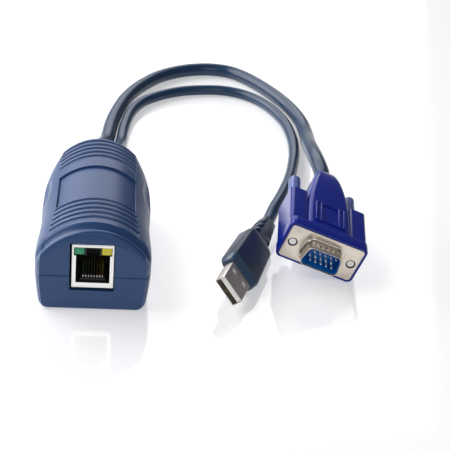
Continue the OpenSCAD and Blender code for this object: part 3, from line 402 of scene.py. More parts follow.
def whole_ring(half_and_width, y):
    half, w = half_and_width
    bow = REAR_BOW * eased(bow_shares, y / BODY_LEN)
    ring = half + [(-x, z) for x, z in reversed(half[:-1])]
    return [Vector((x, FRONT_Y + y - bow * (x / w) ** 2, z)) for x, z in ring]


def strips(count, n):
    """Quads between each of count rings of n points and the next ring."""
    return [(i * n + j, i * n + (j + 1) % n, (i + 1) * n + (j + 1) % n, (i + 1) * n + j)
            for i in range(count - 1) for j in range(n)]


def lofted(name, rings, tip):
    """One closed mesh through the rings, flat at the first and closed in a tip at the last."""
    n = len(rings[0])
    points = [p * MM for ring in rings for p in ring] + [tip * MM]
    last = (len(rings) - 1) * n
    faces = [list(range(n))] + strips(len(rings), n)
    faces += [(last + j, last + (j + 1) % n, len(points) - 1) for j in range(n)]
    mesh = bpy.data.meshes.new(name)
    mesh.from_pydata(points, [], faces)
    return closed_piece(name, mesh)


def closed_piece(name, mesh):
    shape = bmesh.new()
    shape.from_mesh(mesh)
    bmesh.ops.recalc_face_normals(shape, faces=shape.faces)
    shape.to_mesh(mesh)
    shape.free()
    piece = bpy.data.objects.new(name, mesh)
    bpy.context.collection.objects.link(piece)
    return piece


def end_rings(half_at, y, z, steps):
    """Rings that close the rear wall, each smaller than the last, towards a tip at height z."""
    ring = whole_ring(half_at, y)
    w = half_at[1]
    made = []
    for k in range(1, steps):
        f = 1 - k / steps
        made.append([Vector((p.x * f, FRONT_Y + y - REAR_BOW * (p.x * f / w) ** 2, z + (p.z - z) * f))
                     for p in ring])
    return made


def stations():
    """Where along the housing its sections are taken, closest in the coves and the grooves."""
    ys = [COVE_LEN * k / 30 for k in range(31)]
    for middle in GROOVES:
        ys += [middle + GROOVE_W / 2 * (k / 6) for k in range(-6, 7)]
    ys += [PANEL_FROM + PANEL_RISE * k / 4 for k in range(5)]
    floor_len = PANEL_TO - PANEL_FROM - PANEL_RISE - PANEL_FALL
    ys += [PANEL_FROM + PANEL_RISE + floor_len * k / 12 for k in range(1, 13)]
    ys += [PANEL_TO, PANEL_TO + 2.5, PANEL_TO + 5.5]
    ys += [TAIL_FROM + (BODY_LEN - TAIL_FROM) * k / 10 for k in range(11)]
    return sorted(set(round(y, 4) for y in ys))


def carved(piece, *cutters, mode="DIFFERENCE"):
    for cutter in cutters:
        cut = piece.modifiers.new("cut", "BOOLEAN")
        cut.operation = mode
        cut.object = cutter
        cut.solver = "EXACT"
    seen = piece.evaluated_get(bpy.context.evaluated_depsgraph_get())
    mesh = bpy.data.meshes.new_from_object(seen)
    piece.modifiers.clear()
    piece.data = mesh
    for cutter in cutters:
        bpy.data.objects.remove(cutter)
    return piece


BLOCK_FACES = [(0, 1, 3, 2), (4, 6, 7, 5), (0, 4, 5, 1), (2, 3, 7, 6), (0, 2, 6, 4), (1, 5, 7, 3)]


def block(name, low, high):
    corners = [Vector((x, y, z)) * MM for x in (low[0], high[0]) for y in (low[1], high[1])
               for z in (low[2], high[2])]
    mesh = bpy.data.meshes.new(name)
    mesh.from_pydata(corners, [], BLOCK_FACES)
    return closed_piece(name, mesh)


def turned_piece(name, profile, sides, place, tilt=Matrix.Identity(3)):
    """A solid of revolution about Y from a profile of (radius, y) that starts and ends on the axis."""
    rim = profile[1:-1]
    points = []
    for r, y in rim:
        for k in range(sides):
            a = 2 * math.pi * k / sides
            points.append(Vector((r * math.cos(a), y, r * math.sin(a))))
    points += [Vector((0, profile[0][1], 0)), Vector((0, profile[-1][1], 0))]
    last = (len(rim) - 1) * sides
    faces = strips(len(rim), sides)
    faces += [(j, (j + 1) % sides, len(points) - 2) for j in range(sides)]
    faces += [(last + j, last + (j + 1) % sides, len(points) - 1) for j in range(sides)]
    mesh = bpy.data.meshes.new(name)
    mesh.from_pydata([(tilt @ p + place) * MM for p in points], [], faces)
    return closed_piece(name, mesh)


def rod(name, place, length, radius, tilt=Matrix.Identity(3), sides=48):
    return turned_piece(name, [(0, 0), (radius, 0), (radius, length), (0, length)], sides, place, tilt)


def smoothed(piece, angle=32):
    piece.data.shade_smooth()
    piece.data.set_sharp_from_angle(angle=math.radians(angle))


SCOOP_Y = 53
SCOOP_LEN = 22
SCOOP_H = 11
SCOOP_D = 1.2
SCOOP_Z = 21
SCOOP_TILT = math.radians(22)
SCOOP_R = (SCOOP_H ** 2 / 4 + SCOOP_D ** 2) / (2 * SCOOP_D)
SCOOP_BOW = 0.55
SCOOP_OVERRUN = 1.3


def scoop(side):
    """The cutter of one finger scoop: a barrel whose belly dips into the flank."""
    width = HALF_W * eased(plan_shares, SCOOP_Y / BODY_LEN)
    shares = [-SCOOP_OVERRUN + 2 * SCOOP_OVERRUN * k / 40 for k in range(41)]
    profile = ([(0, shares[0] * SCOOP_LEN / 2)]
               + [(SCOOP_R - SCOOP_D * q * q, q * SCOOP_LEN / 2) for q in shares]
               + [(0, shares[-1] * SCOOP_LEN / 2)])
    middle = Vector((side * (width - 2 * SCOOP_D + SCOOP_R * math.cos(SCOOP_TILT)),
                     FRONT_Y + SCOOP_Y - REAR_BOW * SCOOP_BOW,
                     SCOOP_Z + SCOOP_R * math.sin(SCOOP_TILT)))
    return turned_piece("scoop_cut", profile, 96, middle)


JACK_FACE_Y = -40.75
JACK_Z = 9.2
JACK_W = 15.5
JACK_H = 18.1
JACK_GAP_LEFT = 0.7
JACK_GAP_RIGHT = 0.2
JACK_GAP_BELOW = 1.1
JACK_GAP_ABOVE = 0.25
CUT_FROM = FRONT_Y - 1
SEAM_LINE_D = 0.28
MOUTH_FROM = 30
MOUTH_LEN = 15
VIDEO_MOUTH_R = 5.0
SERIAL_MOUTH_R = 4.1


def shell_cuts():
    """Cutters of the jack's opening, of the seam's line across the front and of both mouths."""
    jack = block("jack_cut", (-JACK_W / 2 - JACK_GAP_LEFT, CUT_FROM, JACK_Z - JACK_GAP_BELOW),
                 (JACK_W / 2 + JACK_GAP_RIGHT, FRONT_Y + SHELL_WALL + 0.5,
                  JACK_Z + JACK_H + JACK_GAP_ABOVE))
    seam = block("seam_cut", (-HALF_W, FRONT_Y - 0.2, SEAM_Z - SEAM / 2),
                 (HALF_W, FRONT_Y + SEAM_LINE_D, SEAM_Z + SEAM / 2))
    video = rod("video_cut", Vector((VIDEO_EXIT_X, MOUTH_FROM, SEAM_Z)), MOUTH_LEN, VIDEO_MOUTH_R)
    serial = rod("serial_cut", Vector((SERIAL_EXIT_X, MOUTH_FROM, SEAM_Z)), MOUTH_LEN, SERIAL_MOUTH_R)
    return jack, seam, video, serial


def shell_room(half, z):
    ys = [SHELL_WALL + (BODY_LEN - 2 * SHELL_WALL) * k / 20 for k in range(21)]
    rings = [whole_ring(half(y, SHELL_WALL, z), y) for y in ys]
    rings += end_rings(half(ys[-1], SHELL_WALL, z), ys[-1], z, 5)
    return lofted("room", rings, Vector((0, FRONT_Y + ys[-1], z)))


def shell_skin(name, half, z, room_z, *cuts):
    ys = stations()
    rings = [whole_ring(half(y, 0, z), y) for y in ys]
    rings += end_rings(half(BODY_LEN, 0, z), BODY_LEN, z, 12)
    skin = lofted(name, rings, Vector((0, FRONT_Y + BODY_LEN, z)))
    carved(skin, shell_room(half, room_z), *shell_cuts(), *cuts)
    smoothed(skin)
    skin.data.materials.append(housing_plastic)
    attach(skin, "housing")
    return skin


housing_plastic = plastic("housing_plastic", (0.017, 0.054, 0.165), (0.021, 0.062, 0.180), 0.36,
                          spread=0.08, grain=1800, lift=0.00003, sheen=0.4)
ROOM_OVERRUN = 0.5
upper_skin = shell_skin("upper_skin", upper_half, SEAM_Z, SEAM_Z - ROOM_OVERRUN, scoop(-1), scoop(1))
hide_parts("upper_shell")
SCREW_PLACES = [(-12.2, -27), (12.2, -27), (-12.2, 16), (12.2, 16)]
HEAD_SEAT_Z = 2.4
HEAD_BORE_R = 2.5
UPRIGHT = Matrix.Rotation(math.radians(90), 3, "X")
counterbores = [rod("head_cut", Vector((x, y, -1)), HEAD_SEAT_Z + 1, HEAD_BORE_R, UPRIGHT)
                for x, y in SCREW_PLACES]
lower_skin = shell_skin("lower_skin", lower_half, SEAM_Z, SEAM_Z + ROOM_OVERRUN, *counterbores)
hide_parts("lower_shell")

# Four pan-head screws of plain steel, headed and rolled from wire. They come up through the
# tray into bosses of the upper shell, and hold the two halves together.
CLOUDED_METAL = mottled("clouded_metal", 2, 260, 3, "grain")
METAL_GRAIN = 1500
METAL_LIFT = 0.00001
METAL_BUMP = 0.5


def metal(name, tone, worn, matt, spread=0.12):
    made, shader = surfaced(name, CLOUDED_METAL, tone, worn, matt, spread, METAL_GRAIN, METAL_LIFT,
                            METAL_BUMP)
    shader.inputs["Metallic"].default_value = 1
    return made


screw_steel = metal("screw_steel", (0.55, 0.56, 0.58), (0.45, 0.46, 0.48), 0.32)
dress("case_screws", screw_steel)

# The network jack: a plated sheet-metal box with a window for the plug, a black moulded
# insert inside, a comb of sprung contacts on its floor and a lamp in each top corner.
SHIELD_T = 0.3
JACK_LEN = 21
JACK_FIT = 0.05
SOCKET_W = 12.4
SOCKET_H = 11.3
SOCKET_FLOOR = 2.2
SOCKET_Z = JACK_Z + SOCKET_FLOOR
WINDOW_TO = FRONT_Y + 1.1
LAMP_Z = SOCKET_Z + SOCKET_H
LAMP_W = 3.9
LAMP_H = 3.4
LAMP_EDGE = JACK_W / 2 - (JACK_W - SOCKET_W) / 4
LAMP_FROM = JACK_FACE_Y + 0.5
LAMP_TO = JACK_FACE_Y + 14
CONTACT_COUNT = 8
CONTACT_STEP = 1.02
ROOT_Y = JACK_FACE_Y + 2.4
ROOT_Z = SOCKET_Z + 0.55
BEND_HALF_W = 0.24
BEND_FRONT = 0.1
BEND_BACK = 0.5
BEND_LOW = 0.25
BEND_TOP = 1.15
BEND_EDGE = 0.12


def edged(piece, width, segments=3, angle=30):
    bevel = piece.modifiers.new("edge", "BEVEL")
    bevel.width = width * MM
    bevel.segments = segments
    bevel.limit_method = "ANGLE"
    bevel.angle_limit = math.radians(angle)
    bevel.harden_normals = False
    seen = piece.evaluated_get(bpy.context.evaluated_depsgraph_get())
    mesh = bpy.data.meshes.new_from_object(seen)
    piece.modifiers.clear()
    piece.data = mesh
    return piece


jack_box = edged(block("jack_box", (-JACK_W / 2, JACK_FACE_Y, JACK_Z),
                       (JACK_W / 2, JACK_FACE_Y + JACK_LEN, JACK_Z + JACK_H)), 0.28)
inside = block("inside", (-JACK_W / 2 + SHIELD_T, JACK_FACE_Y + SHIELD_T, JACK_Z - 1),
               (JACK_W / 2 - SHIELD_T, JACK_FACE_Y + JACK_LEN - SHIELD_T, JACK_Z + JACK_H - SHIELD_T))
plug_window = block("plug_window", (-SOCKET_W / 2, CUT_FROM, SOCKET_Z),
                    (SOCKET_W / 2, WINDOW_TO, LAMP_Z + JACK_FIT))
lamp_window = block("lamp_window", (-LAMP_EDGE, CUT_FROM, LAMP_Z),
                    (LAMP_EDGE, WINDOW_TO, LAMP_Z + LAMP_H + JACK_FIT))
carved(jack_box, inside, plug_window, lamp_window)
smoothed(jack_box)
jack_plate = metal("jack_plate", (0.86, 0.85, 0.82), (0.78, 0.77, 0.73), 0.34)
jack_box.data.materials.append(jack_plate)
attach(jack_box, "housing")
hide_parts("jack_shield")
insert_plastic = plastic("insert_plastic", (0.006, 0.006, 0.007), (0.010, 0.010, 0.011), 0.5)
dress("jack_insert", insert_plastic)
contact_gold = metal("contact_gold", (0.80, 0.66, 0.40), (0.70, 0.55, 0.30), 0.3)
dress("jack_contacts", contact_gold)
# Each contact's bend gets a flat white block, a painted highlight for the glint on the gold.
contact_painted_glint = plastic("contact_painted_glint", (0.85, 0.85, 0.83), (0.80, 0.80, 0.78), 0.35)
for k in range(CONTACT_COUNT):
    x = (k - (CONTACT_COUNT - 1) / 2) * CONTACT_STEP
    bend = block("contact_bend", (x - BEND_HALF_W, ROOT_Y - BEND_FRONT, ROOT_Z + BEND_LOW),
                 (x + BEND_HALF_W, ROOT_Y + BEND_BACK, ROOT_Z + BEND_TOP))
    edged(bend, BEND_EDGE)
    smoothed(bend)
    bend.data.materials.append(contact_painted_glint)
    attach(bend, "contact_set")
dress("jack_pins", screw_steel)


def lamp_lens(name, node, side, tone, glow):
    low = side * (LAMP_EDGE - LAMP_W / 2) - LAMP_W / 2
    lens = block(name, (low, LAMP_FROM, LAMP_Z + JACK_FIT),
                 (low + LAMP_W, LAMP_TO, LAMP_Z + LAMP_H - JACK_FIT))
    edged(lens, 0.45, 4)
    smoothed(lens)
    clear = plastic(name + "_resin", tone, tuple(min(1, 1.5 * v) for v in tone), 0.16, grain=600)
    shader = clear.node_tree.nodes["Principled BSDF"]
    shader.inputs["Emission Color"].default_value = (*glow, 1)
    shader.inputs["Emission Strength"].default_value = 0.05
    lens.data.materials.append(clear)
    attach(lens, "housing")
    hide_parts(node)


lamp_lens("green_lens", "lamp_green", -1, (0.005, 0.20, 0.085), (0.01, 0.28, 0.09))
lamp_lens("amber_lens", "lamp_amber", 1, (0.48, 0.42, 0.02), (0.6, 0.52, 0.03))

# The one circuit board is glass fibre in green lacquer, on posts of the tray. Its chips,
# crystal, capacitors, coils and headers are soldered to it, and each lead's wires end in a
# header. The housing closes over them all.
board_resin = plastic("board_resin", (0.012, 0.10, 0.035), (0.018, 0.13, 0.045), 0.3, coat=0.3)
chip_resin = plastic("chip_resin", (0.012, 0.012, 0.014), (0.02, 0.02, 0.022), 0.55)
ceramic = plastic("ceramic", (0.40, 0.31, 0.20), (0.46, 0.37, 0.25), 0.5)
header_nylon = plastic("header_nylon", (0.68, 0.63, 0.50), (0.74, 0.69, 0.56), 0.45)
ferrite = plastic("ferrite", (0.03, 0.03, 0.035), (0.045, 0.045, 0.05), 0.6)
red_wire = plastic("red_wire", (0.25, 0.025, 0.025), (0.3, 0.04, 0.04), 0.5)
blue_wire = plastic("blue_wire", (0.025, 0.11, 0.24), (0.04, 0.14, 0.3), 0.5)
can_aluminium = metal("can_aluminium", (0.62, 0.63, 0.65), (0.55, 0.56, 0.58), 0.35)
inner_looks = {"circuit_board": board_resin, "main_chip": chip_resin, "video_chip": chip_resin,
               "memory_chip": chip_resin, "crystal": screw_steel, "capacitors": can_aluminium,
               "coils": ferrite, "small_parts": ceramic, "video_header": header_nylon,
               "serial_header": header_nylon, "video_wires": red_wire, "serial_wires": blue_wire}
for node, look in inner_looks.items():
    dress(node, look)

# The video plug's hood is one glossy royal-blue moulding: a flange block round the metal
# face, a long ear behind each thumbscrew, and a bullet-shaped body that the cord enters.
PLATE_W = 30.8
PLATE_H = 15.2
PLATE_T = 0.5
PLATE_GAP = 0.1
EAR_W = 7.6
EAR_H = 14.2
EAR_R = 1.5
EAR_LEN = 29
BLOCK_FROM = 0.15
BLOCK_LEN = 5.5
BLOCK_EDGE = 0.5
BODY_W = 18.8
BODY_H = 16.2
BODY_R = 1.9
BODY_FROM = 0.6
BAR_FROM = 9
BAR_TO = 22
BAR_Z = BODY_H / 2 - 0.2
BAR_R = 0.35
BAR_EDGE = 0.25
HOLE_X = 12.5
hood_blue = plastic("hood_blue", (0.0, 0.009, 0.21), (0.0, 0.012, 0.25), 0.24, spread=0.06, grain=1200,
                    lift=0.00001, coat=0.06, coat_matt=0.08, sheen=0.3)


def round_corners(w, h, r, steps=6):
    """Outline of a rounded rectangle in X and Z, centred, as a list of pairs."""
    made = []
    for sx, sz, start in ((1, 1, 0), (-1, 1, 90), (-1, -1, 180), (1, -1, 270)):
        for k in range(steps + 1):
            a = math.radians(start + 90 * k / steps)
            made.append((sx * (w / 2 - r) + r * math.cos(a), sz * (h / 2 - r) + r * math.sin(a)))
    return made


def sections(name, outlines, tilt, place):
    """A closed mesh through outlines given as (y, pairs), flat at both ends."""
    n = len(outlines[0][1])
    points = [(tilt @ Vector((x, y, z)) + place) * MM for y, ring in outlines for x, z in ring]
    faces = [list(range(n)), list(range((len(outlines) - 1) * n, len(outlines) * n))]
    faces += strips(len(outlines), n)
    mesh = bpy.data.meshes.new(name)
    mesh.from_pydata(points, [], faces)
    return closed_piece(name, mesh)


def in_video(x, y, z):
    return VIDEO_TILT @ Vector((x, y, z)) + VIDEO_PLACE


def video_part(name, outlines):
    """A closed mesh through outlines round the video plug's own axis."""
    return sections(name, outlines, VIDEO_TILT, VIDEO_PLACE)


def screw_bore(name, side, y, length, radius):
    """A round cutter on the axis of one thumbscrew."""
    return rod(name, in_video(side * HOLE_X, y, 0), length, radius, VIDEO_TILT, 32)


def tilted_box(name, low, high, tilt, place):
    made = block(name, low, high)
    made.data.transform(Matrix.Translation(place * MM) @ tilt.to_4x4())
    return made


def pillow(y0, y1, w, h, r, edge, x=0, z=0):
    """Outlines of a rounded block whose front and back edges are rounded too."""
    rim = []
    for k in range(4, -1, -1):
        a = math.radians(90 * k / 4)
        rim.append((y0 + edge * (1 - math.sin(a)), edge * (1 - math.cos(a))))
    rim += [(y0 + y1 - y, inset) for y, inset in reversed(rim)]
    made = []
    for y, inset in rim:
        ring = round_corners(w - 2 * inset, h - 2 * inset, max(r - inset, 0.15))
        made.append((y, [(px + x, pz + z) for px, pz in ring]))
    return made


width_shares = [(0, 1), (0.3, 0.98), (0.5, 0.92), (0.65, 0.81), (0.78, 0.69), (0.88, 0.57),
                (0.95, 0.48), (1, 0.4)]
height_shares = [(0, 1), (0.62, 1), (0.8, 0.93), (0.9, 0.82), (0.96, 0.7), (1, 0.56)]


def bullet():
    """Outlines of the hood's body, which narrows to the cord."""
    made = []
    for k in range(41):
        s = k / 40
        w = BODY_W * eased(width_shares, s)
        h = BODY_H * eased(height_shares, s)
        y = BODY_FROM + (HOOD_LEN - BODY_FROM) * s
        made.append((y, round_corners(w, h, min(BODY_R, w / 2.4, h / 2.4))))
    return made


flange_block = video_part("hood_mould", pillow(BLOCK_FROM, BLOCK_LEN, HOOD_W, HOOD_H, HOOD_R, BLOCK_EDGE))
hood_parts = [video_part("ear", pillow(BLOCK_LEN - 3, EAR_LEN, EAR_W, EAR_H, EAR_R, BLOCK_EDGE,
                                       x=s * (HOOD_W - EAR_W) / 2)) for s in (-1, 1)]
hood_parts.append(video_part("body", bullet()))
for x in (-6.0, 6.0, -3.9, 3.9):
    hood_parts.append(video_part("bar", pillow(BAR_FROM, BAR_TO, 0.95, 1.6, BAR_R, BAR_EDGE, x=x, z=BAR_Z)))
for y in (BAR_FROM, BAR_TO - 1):
    hood_parts.append(video_part("bar", pillow(y, y + 1, 12.8, 1.3, BAR_R, BAR_EDGE, z=BAR_Z)))
carved(flange_block, *hood_parts, mode="UNION")
hood_cuts = [tilted_box("plate_pocket", (-PLATE_W / 2 - PLATE_GAP, -1, -PLATE_H / 2 - PLATE_GAP),
                        (PLATE_W / 2 + PLATE_GAP, PLATE_T, PLATE_H / 2 + PLATE_GAP),
                        VIDEO_TILT, VIDEO_PLACE),
             tilted_box("insulator_pocket", (-9.45, -0.5, -5.1), (9.45, 7.4, 5.1), VIDEO_TILT, VIDEO_PLACE)]
SCREW_BORES = (("screw_way", -0.5, 23, 1.54), ("screw_mouth", -0.5, 5, 2.05),
               ("ring_way", 5.2, 7.4, 2.2), ("knob_way", 13.6, 18, 2.7))
for side in (-1, 1):
    hood_cuts += [screw_bore(name, side, *bore) for name, *bore in SCREW_BORES]
carved(flange_block, *hood_cuts)
smoothed(flange_block, 28)
flange_block.data.materials.append(hood_blue)
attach(flange_block, "housing")
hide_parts("video_hood")

# The plug's face is one piece of nickel-plated sheet: a flat flange, and the D-shaped
# shell drawn out of it with a soft root, a rolled lip and dimples that grip the socket.
D_W = 16.9
D_H = 9.2
D_R = 2.4
D_SLOPE = math.radians(10)
D_STEPS = 10
D_SIDE_STEPS = 14
D_SHEET = 0.4
D_LIP_Y = -5.75
D_ROOT_R = 0.8
DIMPLES_X = (-4.4, -2.2, 0, 2.2, 4.4)
DIMPLE_Y = -3.1
DIMPLE_W = 0.62
DIMPLE_LEN = 0.9
DIMPLE_D = 0.26
PLATE_R = 1.2
PLATE_EDGE = 0.12
PLATE_HOLE_R = 1.95
ROOT_LINE_OUT = 1.45
ROOT_LINE_D = 0.42
nickel_sheet = metal("nickel_sheet", (0.66, 0.60, 0.53), (0.60, 0.54, 0.47), 0.3, spread=0.1)


def d_outline(grown):
    """Points round the D, wide side down, moved outwards by grown."""
    low_x = D_W / 2 - D_R * (1 + math.sin(D_SLOPE)) / math.cos(D_SLOPE)
    top_x = D_W / 2 - D_H * math.tan(D_SLOPE) - D_R * (1 - math.sin(D_SLOPE)) / math.cos(D_SLOPE)
    r = D_R + grown
    right = [(low_x * k / D_SIDE_STEPS, -D_H / 2 - grown) for k in range(D_SIDE_STEPS + 1)]
    for k in range(1, D_STEPS + 1):
        a = -math.pi / 2 + (D_SLOPE + math.pi / 2) * k / D_STEPS
        right.append((low_x + r * math.cos(a), -D_H / 2 + D_R + r * math.sin(a)))
    for k in range(D_STEPS + 1):
        a = D_SLOPE + (math.pi / 2 - D_SLOPE) * k / D_STEPS
        right.append((top_x + r * math.cos(a), D_H / 2 - D_R + r * math.sin(a)))
    for k in range(1, D_SIDE_STEPS + 1):
        right.append((top_x * (1 - k / D_SIDE_STEPS), D_H / 2 + grown))
    return right + [(-x, z) for x, z in reversed(right[1:-1])]


shell_path = [(0.49, -D_SHEET), (D_LIP_Y, -D_SHEET), (-5.92, -0.36), (-6, -0.25), (-6, -0.15),
              (-5.92, -0.04), (D_LIP_Y, 0)]
shell_path += [(D_LIP_Y + (-D_ROOT_R - D_LIP_Y) * k / 16, 0) for k in range(1, 17)]
for k in range(1, 7):
    a = math.pi / 2 * k / 6
    shell_path.append((-D_ROOT_R + D_ROOT_R * math.sin(a), D_ROOT_R - D_ROOT_R * math.cos(a)))
shell_path.append((0.3, D_ROOT_R))
points = []
for y, grown in shell_path:
    for x, z in d_outline(grown):
        sunk = 0
        if grown == 0 and abs(z) > D_H / 2 - 0.01:
            for dimple_x in DIMPLES_X:
                away = math.hypot((x - dimple_x) / DIMPLE_W, (y - DIMPLE_Y) / DIMPLE_LEN)
                sunk = max(sunk, DIMPLE_D * max(0, 1 - away * away))
        points.append(in_video(x, y, z - math.copysign(sunk, z)) * MM)
ring_n = len(d_outline(0))
last = (len(shell_path) - 1) * ring_n
faces = strips(len(shell_path), ring_n)
faces += [(last + j, last + (j + 1) % ring_n, (j + 1) % ring_n, j) for j in range(ring_n)]
face_mesh = bpy.data.meshes.new("plug_face")
face_mesh.from_pydata(points, [], faces)
plug_face = closed_piece("plug_face", face_mesh)
plate_outline = round_corners(PLATE_W, PLATE_H, PLATE_R)
flange = edged(video_part("flange", [(0, plate_outline), (PLATE_T, plate_outline)]), PLATE_EDGE, 2)
flange_cuts = [video_part("d_cut", [(y, d_outline(0.2)) for y in (-1, 1)])]
flange_cuts += [screw_bore("hole", side, -1, 3, PLATE_HOLE_R) for side in (-1, 1)]
carved(flange, *flange_cuts)
carved(plug_face, flange, mode="UNION")
root_line = video_part("root_line", [(y, d_outline(ROOT_LINE_OUT)) for y in (-0.1, ROOT_LINE_D)])
carved(root_line, video_part("root_core", [(y, d_outline(D_ROOT_R)) for y in (-1, 1)]))
carved(plug_face, root_line)
smoothed(plug_face, 40)
plug_face.data.materials.append(nickel_sheet)
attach(plug_face, "housing")
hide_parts("video_front_shell")

# The insulator is one blue moulding, which also lines the inside of the D-shaped shell. It
# holds fifteen bright plated pins in three rows, their tips rounded.
LINING_OUT = -0.44
LINING_IN = -0.66
insulator_blue = plastic("insulator_blue", (0.001, 0.12, 0.44), (0.002, 0.14, 0.50), 0.32, grain=1500)
dress("video_insulator", insulator_blue)
lining = video_part("lining", [(y, d_outline(LINING_OUT)) for y in (-5.1, 0.2)])
carved(lining, video_part("lining_room", [(y, d_outline(LINING_IN)) for y in (-7, 1)]))
smoothed(lining, 40)
lining.data.materials.append(insulator_blue)
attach(lining, "housing")
pin_plating = metal("pin_plating", (0.98, 0.98, 0.96), (0.95, 0.94, 0.90), 0.5)
PIN_R = 0.4
PIN_FRONT = 4.8
PIN_BACK = 7.3
PIN_STEP = 2.29
PIN_ROW_STEP = 2.15
pin_profile = [(0, -PIN_FRONT), (PIN_R * 0.35, -PIN_FRONT + 0.03), (PIN_R * 0.75, -PIN_FRONT + 0.2),
               (PIN_R, -PIN_FRONT + 0.6), (PIN_R, PIN_BACK), (0, PIN_BACK)]
pin_meshes = []
for row in (-1, 0, 1):
    shift = -PIN_STEP / 4 if row == 0 else PIN_STEP / 4
    for k in range(5):
        place = in_video((k - 2) * PIN_STEP + shift, 0, row * PIN_ROW_STEP)
        pin_meshes.append(turned_piece("pin", pin_profile, 20, place, VIDEO_TILT))


def joined(name, parts):
    whole = bmesh.new()
    for part in parts:
        whole.from_mesh(part.data)
        bpy.data.objects.remove(part)
    mesh = bpy.data.meshes.new(name)
    whole.to_mesh(mesh)
    whole.free()
    piece = bpy.data.objects.new(name, mesh)
    bpy.context.collection.objects.link(piece)
    return piece


plug_pins = joined("plug_pins", pin_meshes)
smoothed(plug_pins, 40)
plug_pins.data.materials.append(pin_plating)
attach(plug_pins, "housing")
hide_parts("video_pins")

# The thumbscrews: a bright steel screw with a snap ring, and a blue fluted knob pressed
# on its end. Each slides in its ear and turns freely. The knob's blue is painted paler than
# the hood's, partly its own colour and partly a painted sheen.
# Blue of the knob, lightened as a painted sheen.
knob_blue_and_painted_sheen = plastic("knob_blue_and_painted_sheen", (0.07, 0.11, 0.34), (0.09, 0.13, 0.38), 0.3, coat=0.5,
                    grain=1200, lift=0.00001)
thread_steel = metal("thread_steel", (0.60, 0.59, 0.56), (0.50, 0.49, 0.47), 0.24)
KNOB_Y = 19
KNOB_R = 2.5
KNOB_LEN = 27
KNOB_SIDES = 72
KNOB_FRONT_EDGE = 0.35
KNOB_BACK_EDGE = 0.7
KNOB_BORE_R = 1.42
FLUTE_FROM = 16
FLUTE_COUNT = 12
FLUTE_D = 0.16


def fluted_knob(name, side):
    """A knob through stations of (distance along it, growth of its radius, share of the flutes)."""
    made = []
    for k in range(4, -1, -1):
        a = math.radians(90 * k / 4)
        made.append((KNOB_FRONT_EDGE * (1 - math.sin(a)), -KNOB_FRONT_EDGE * (1 - math.cos(a)), 0))
    made += [(FLUTE_FROM - 0.8, 0, 0), (FLUTE_FROM - 0.4, -0.12, 0.4), (FLUTE_FROM, 0, 1)]
    made += [(KNOB_LEN - 1.2, 0, 1), (KNOB_LEN - 0.8, 0, 0.6)]
    for k in range(5):
        a = math.radians(90 * k / 4)
        made.append((KNOB_LEN - KNOB_BACK_EDGE + KNOB_BACK_EDGE * math.sin(a),
                     -KNOB_BACK_EDGE * (1 - math.cos(a)), 0.3 * (1 - k / 4)))
    rings = []
    for y, growth, share in made:
        ring = []
        for k in range(KNOB_SIDES):
            a = 2 * math.pi * k / KNOB_SIDES
            r = KNOB_R + growth - FLUTE_D * share * (0.5 - 0.5 * math.cos(FLUTE_COUNT * a)) ** 2
            ring.append((r * math.cos(a) + side * HOLE_X, r * math.sin(a)))
        rings.append((KNOB_Y + y, ring))
    knob = video_part(name, rings)
    carved(knob, screw_bore("bore", side, KNOB_Y - 1, 9, KNOB_BORE_R))
    smoothed(knob, 40)
    knob.data.materials.append(knob_blue_and_painted_sheen)
    return knob


thumbscrews = []
for side, word in ((-1, "left"), (1, "right")):
    knob = fluted_knob(word + "_thumb_knob", side)
    thumbscrews += [knob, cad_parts[word + "_jackscrew"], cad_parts[word + "_retainer"]]
    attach(knob, word + "_screw")
    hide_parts(word + "_knob")
    dress(word + "_jackscrew", thread_steel)
    dress(word + "_retainer", thread_steel)

# The serial plug: a soft dark navy grip with a bevelled nose, notched at the back where it
# bends, and a stamped shell folded round a white tongue with four plated contacts. The
# nose's bevel is painted a lighter blue, as a painted highlight.
SHELL_W = 12
SHELL_H = 4.5
SHELL_R = 0.6
SHELL_SHEET = 0.3
SHELL_OUT = 12
SHELL_IN = 6.4
GRIP_LEN = 28
GRIP_END = SHELL_OUT + GRIP_LEN
RELIEF_LEN = SERIAL_LEN - GRIP_END
NOTCH_COUNT = 3
NOTCH_W = 1.5
NOTCH_FROM = 2.7
NOTCH_TO = 13
BEVEL_END = 15.5
grip_vinyl = plastic("grip_vinyl", (0.004, 0.015, 0.042), (0.006, 0.019, 0.050), 0.34,
                     grain=2200, lift=0.00001, sheen=0.4)
# Painted highlight: the same vinyl, a little glossier, in a lighter blue for the nose's bevel.
nose_painted_highlight = plastic("nose_painted_highlight", (0.030, 0.060, 0.115), (0.036, 0.068, 0.128), 0.3,
                      grain=2200, lift=0.00001)


def serial_loft(name, entries, steps=6):
    """A closed mesh round the serial plug's own axis, through (y, width, height, corner radius)."""
    return sections(name, [(y, round_corners(w, h, r, steps)) for y, w, h, r in entries],
                    SERIAL_TILT, SERIAL_PLACE)


def serial_box(name, low, high):
    return tilted_box(name, low, high, SERIAL_TILT, SERIAL_PLACE)


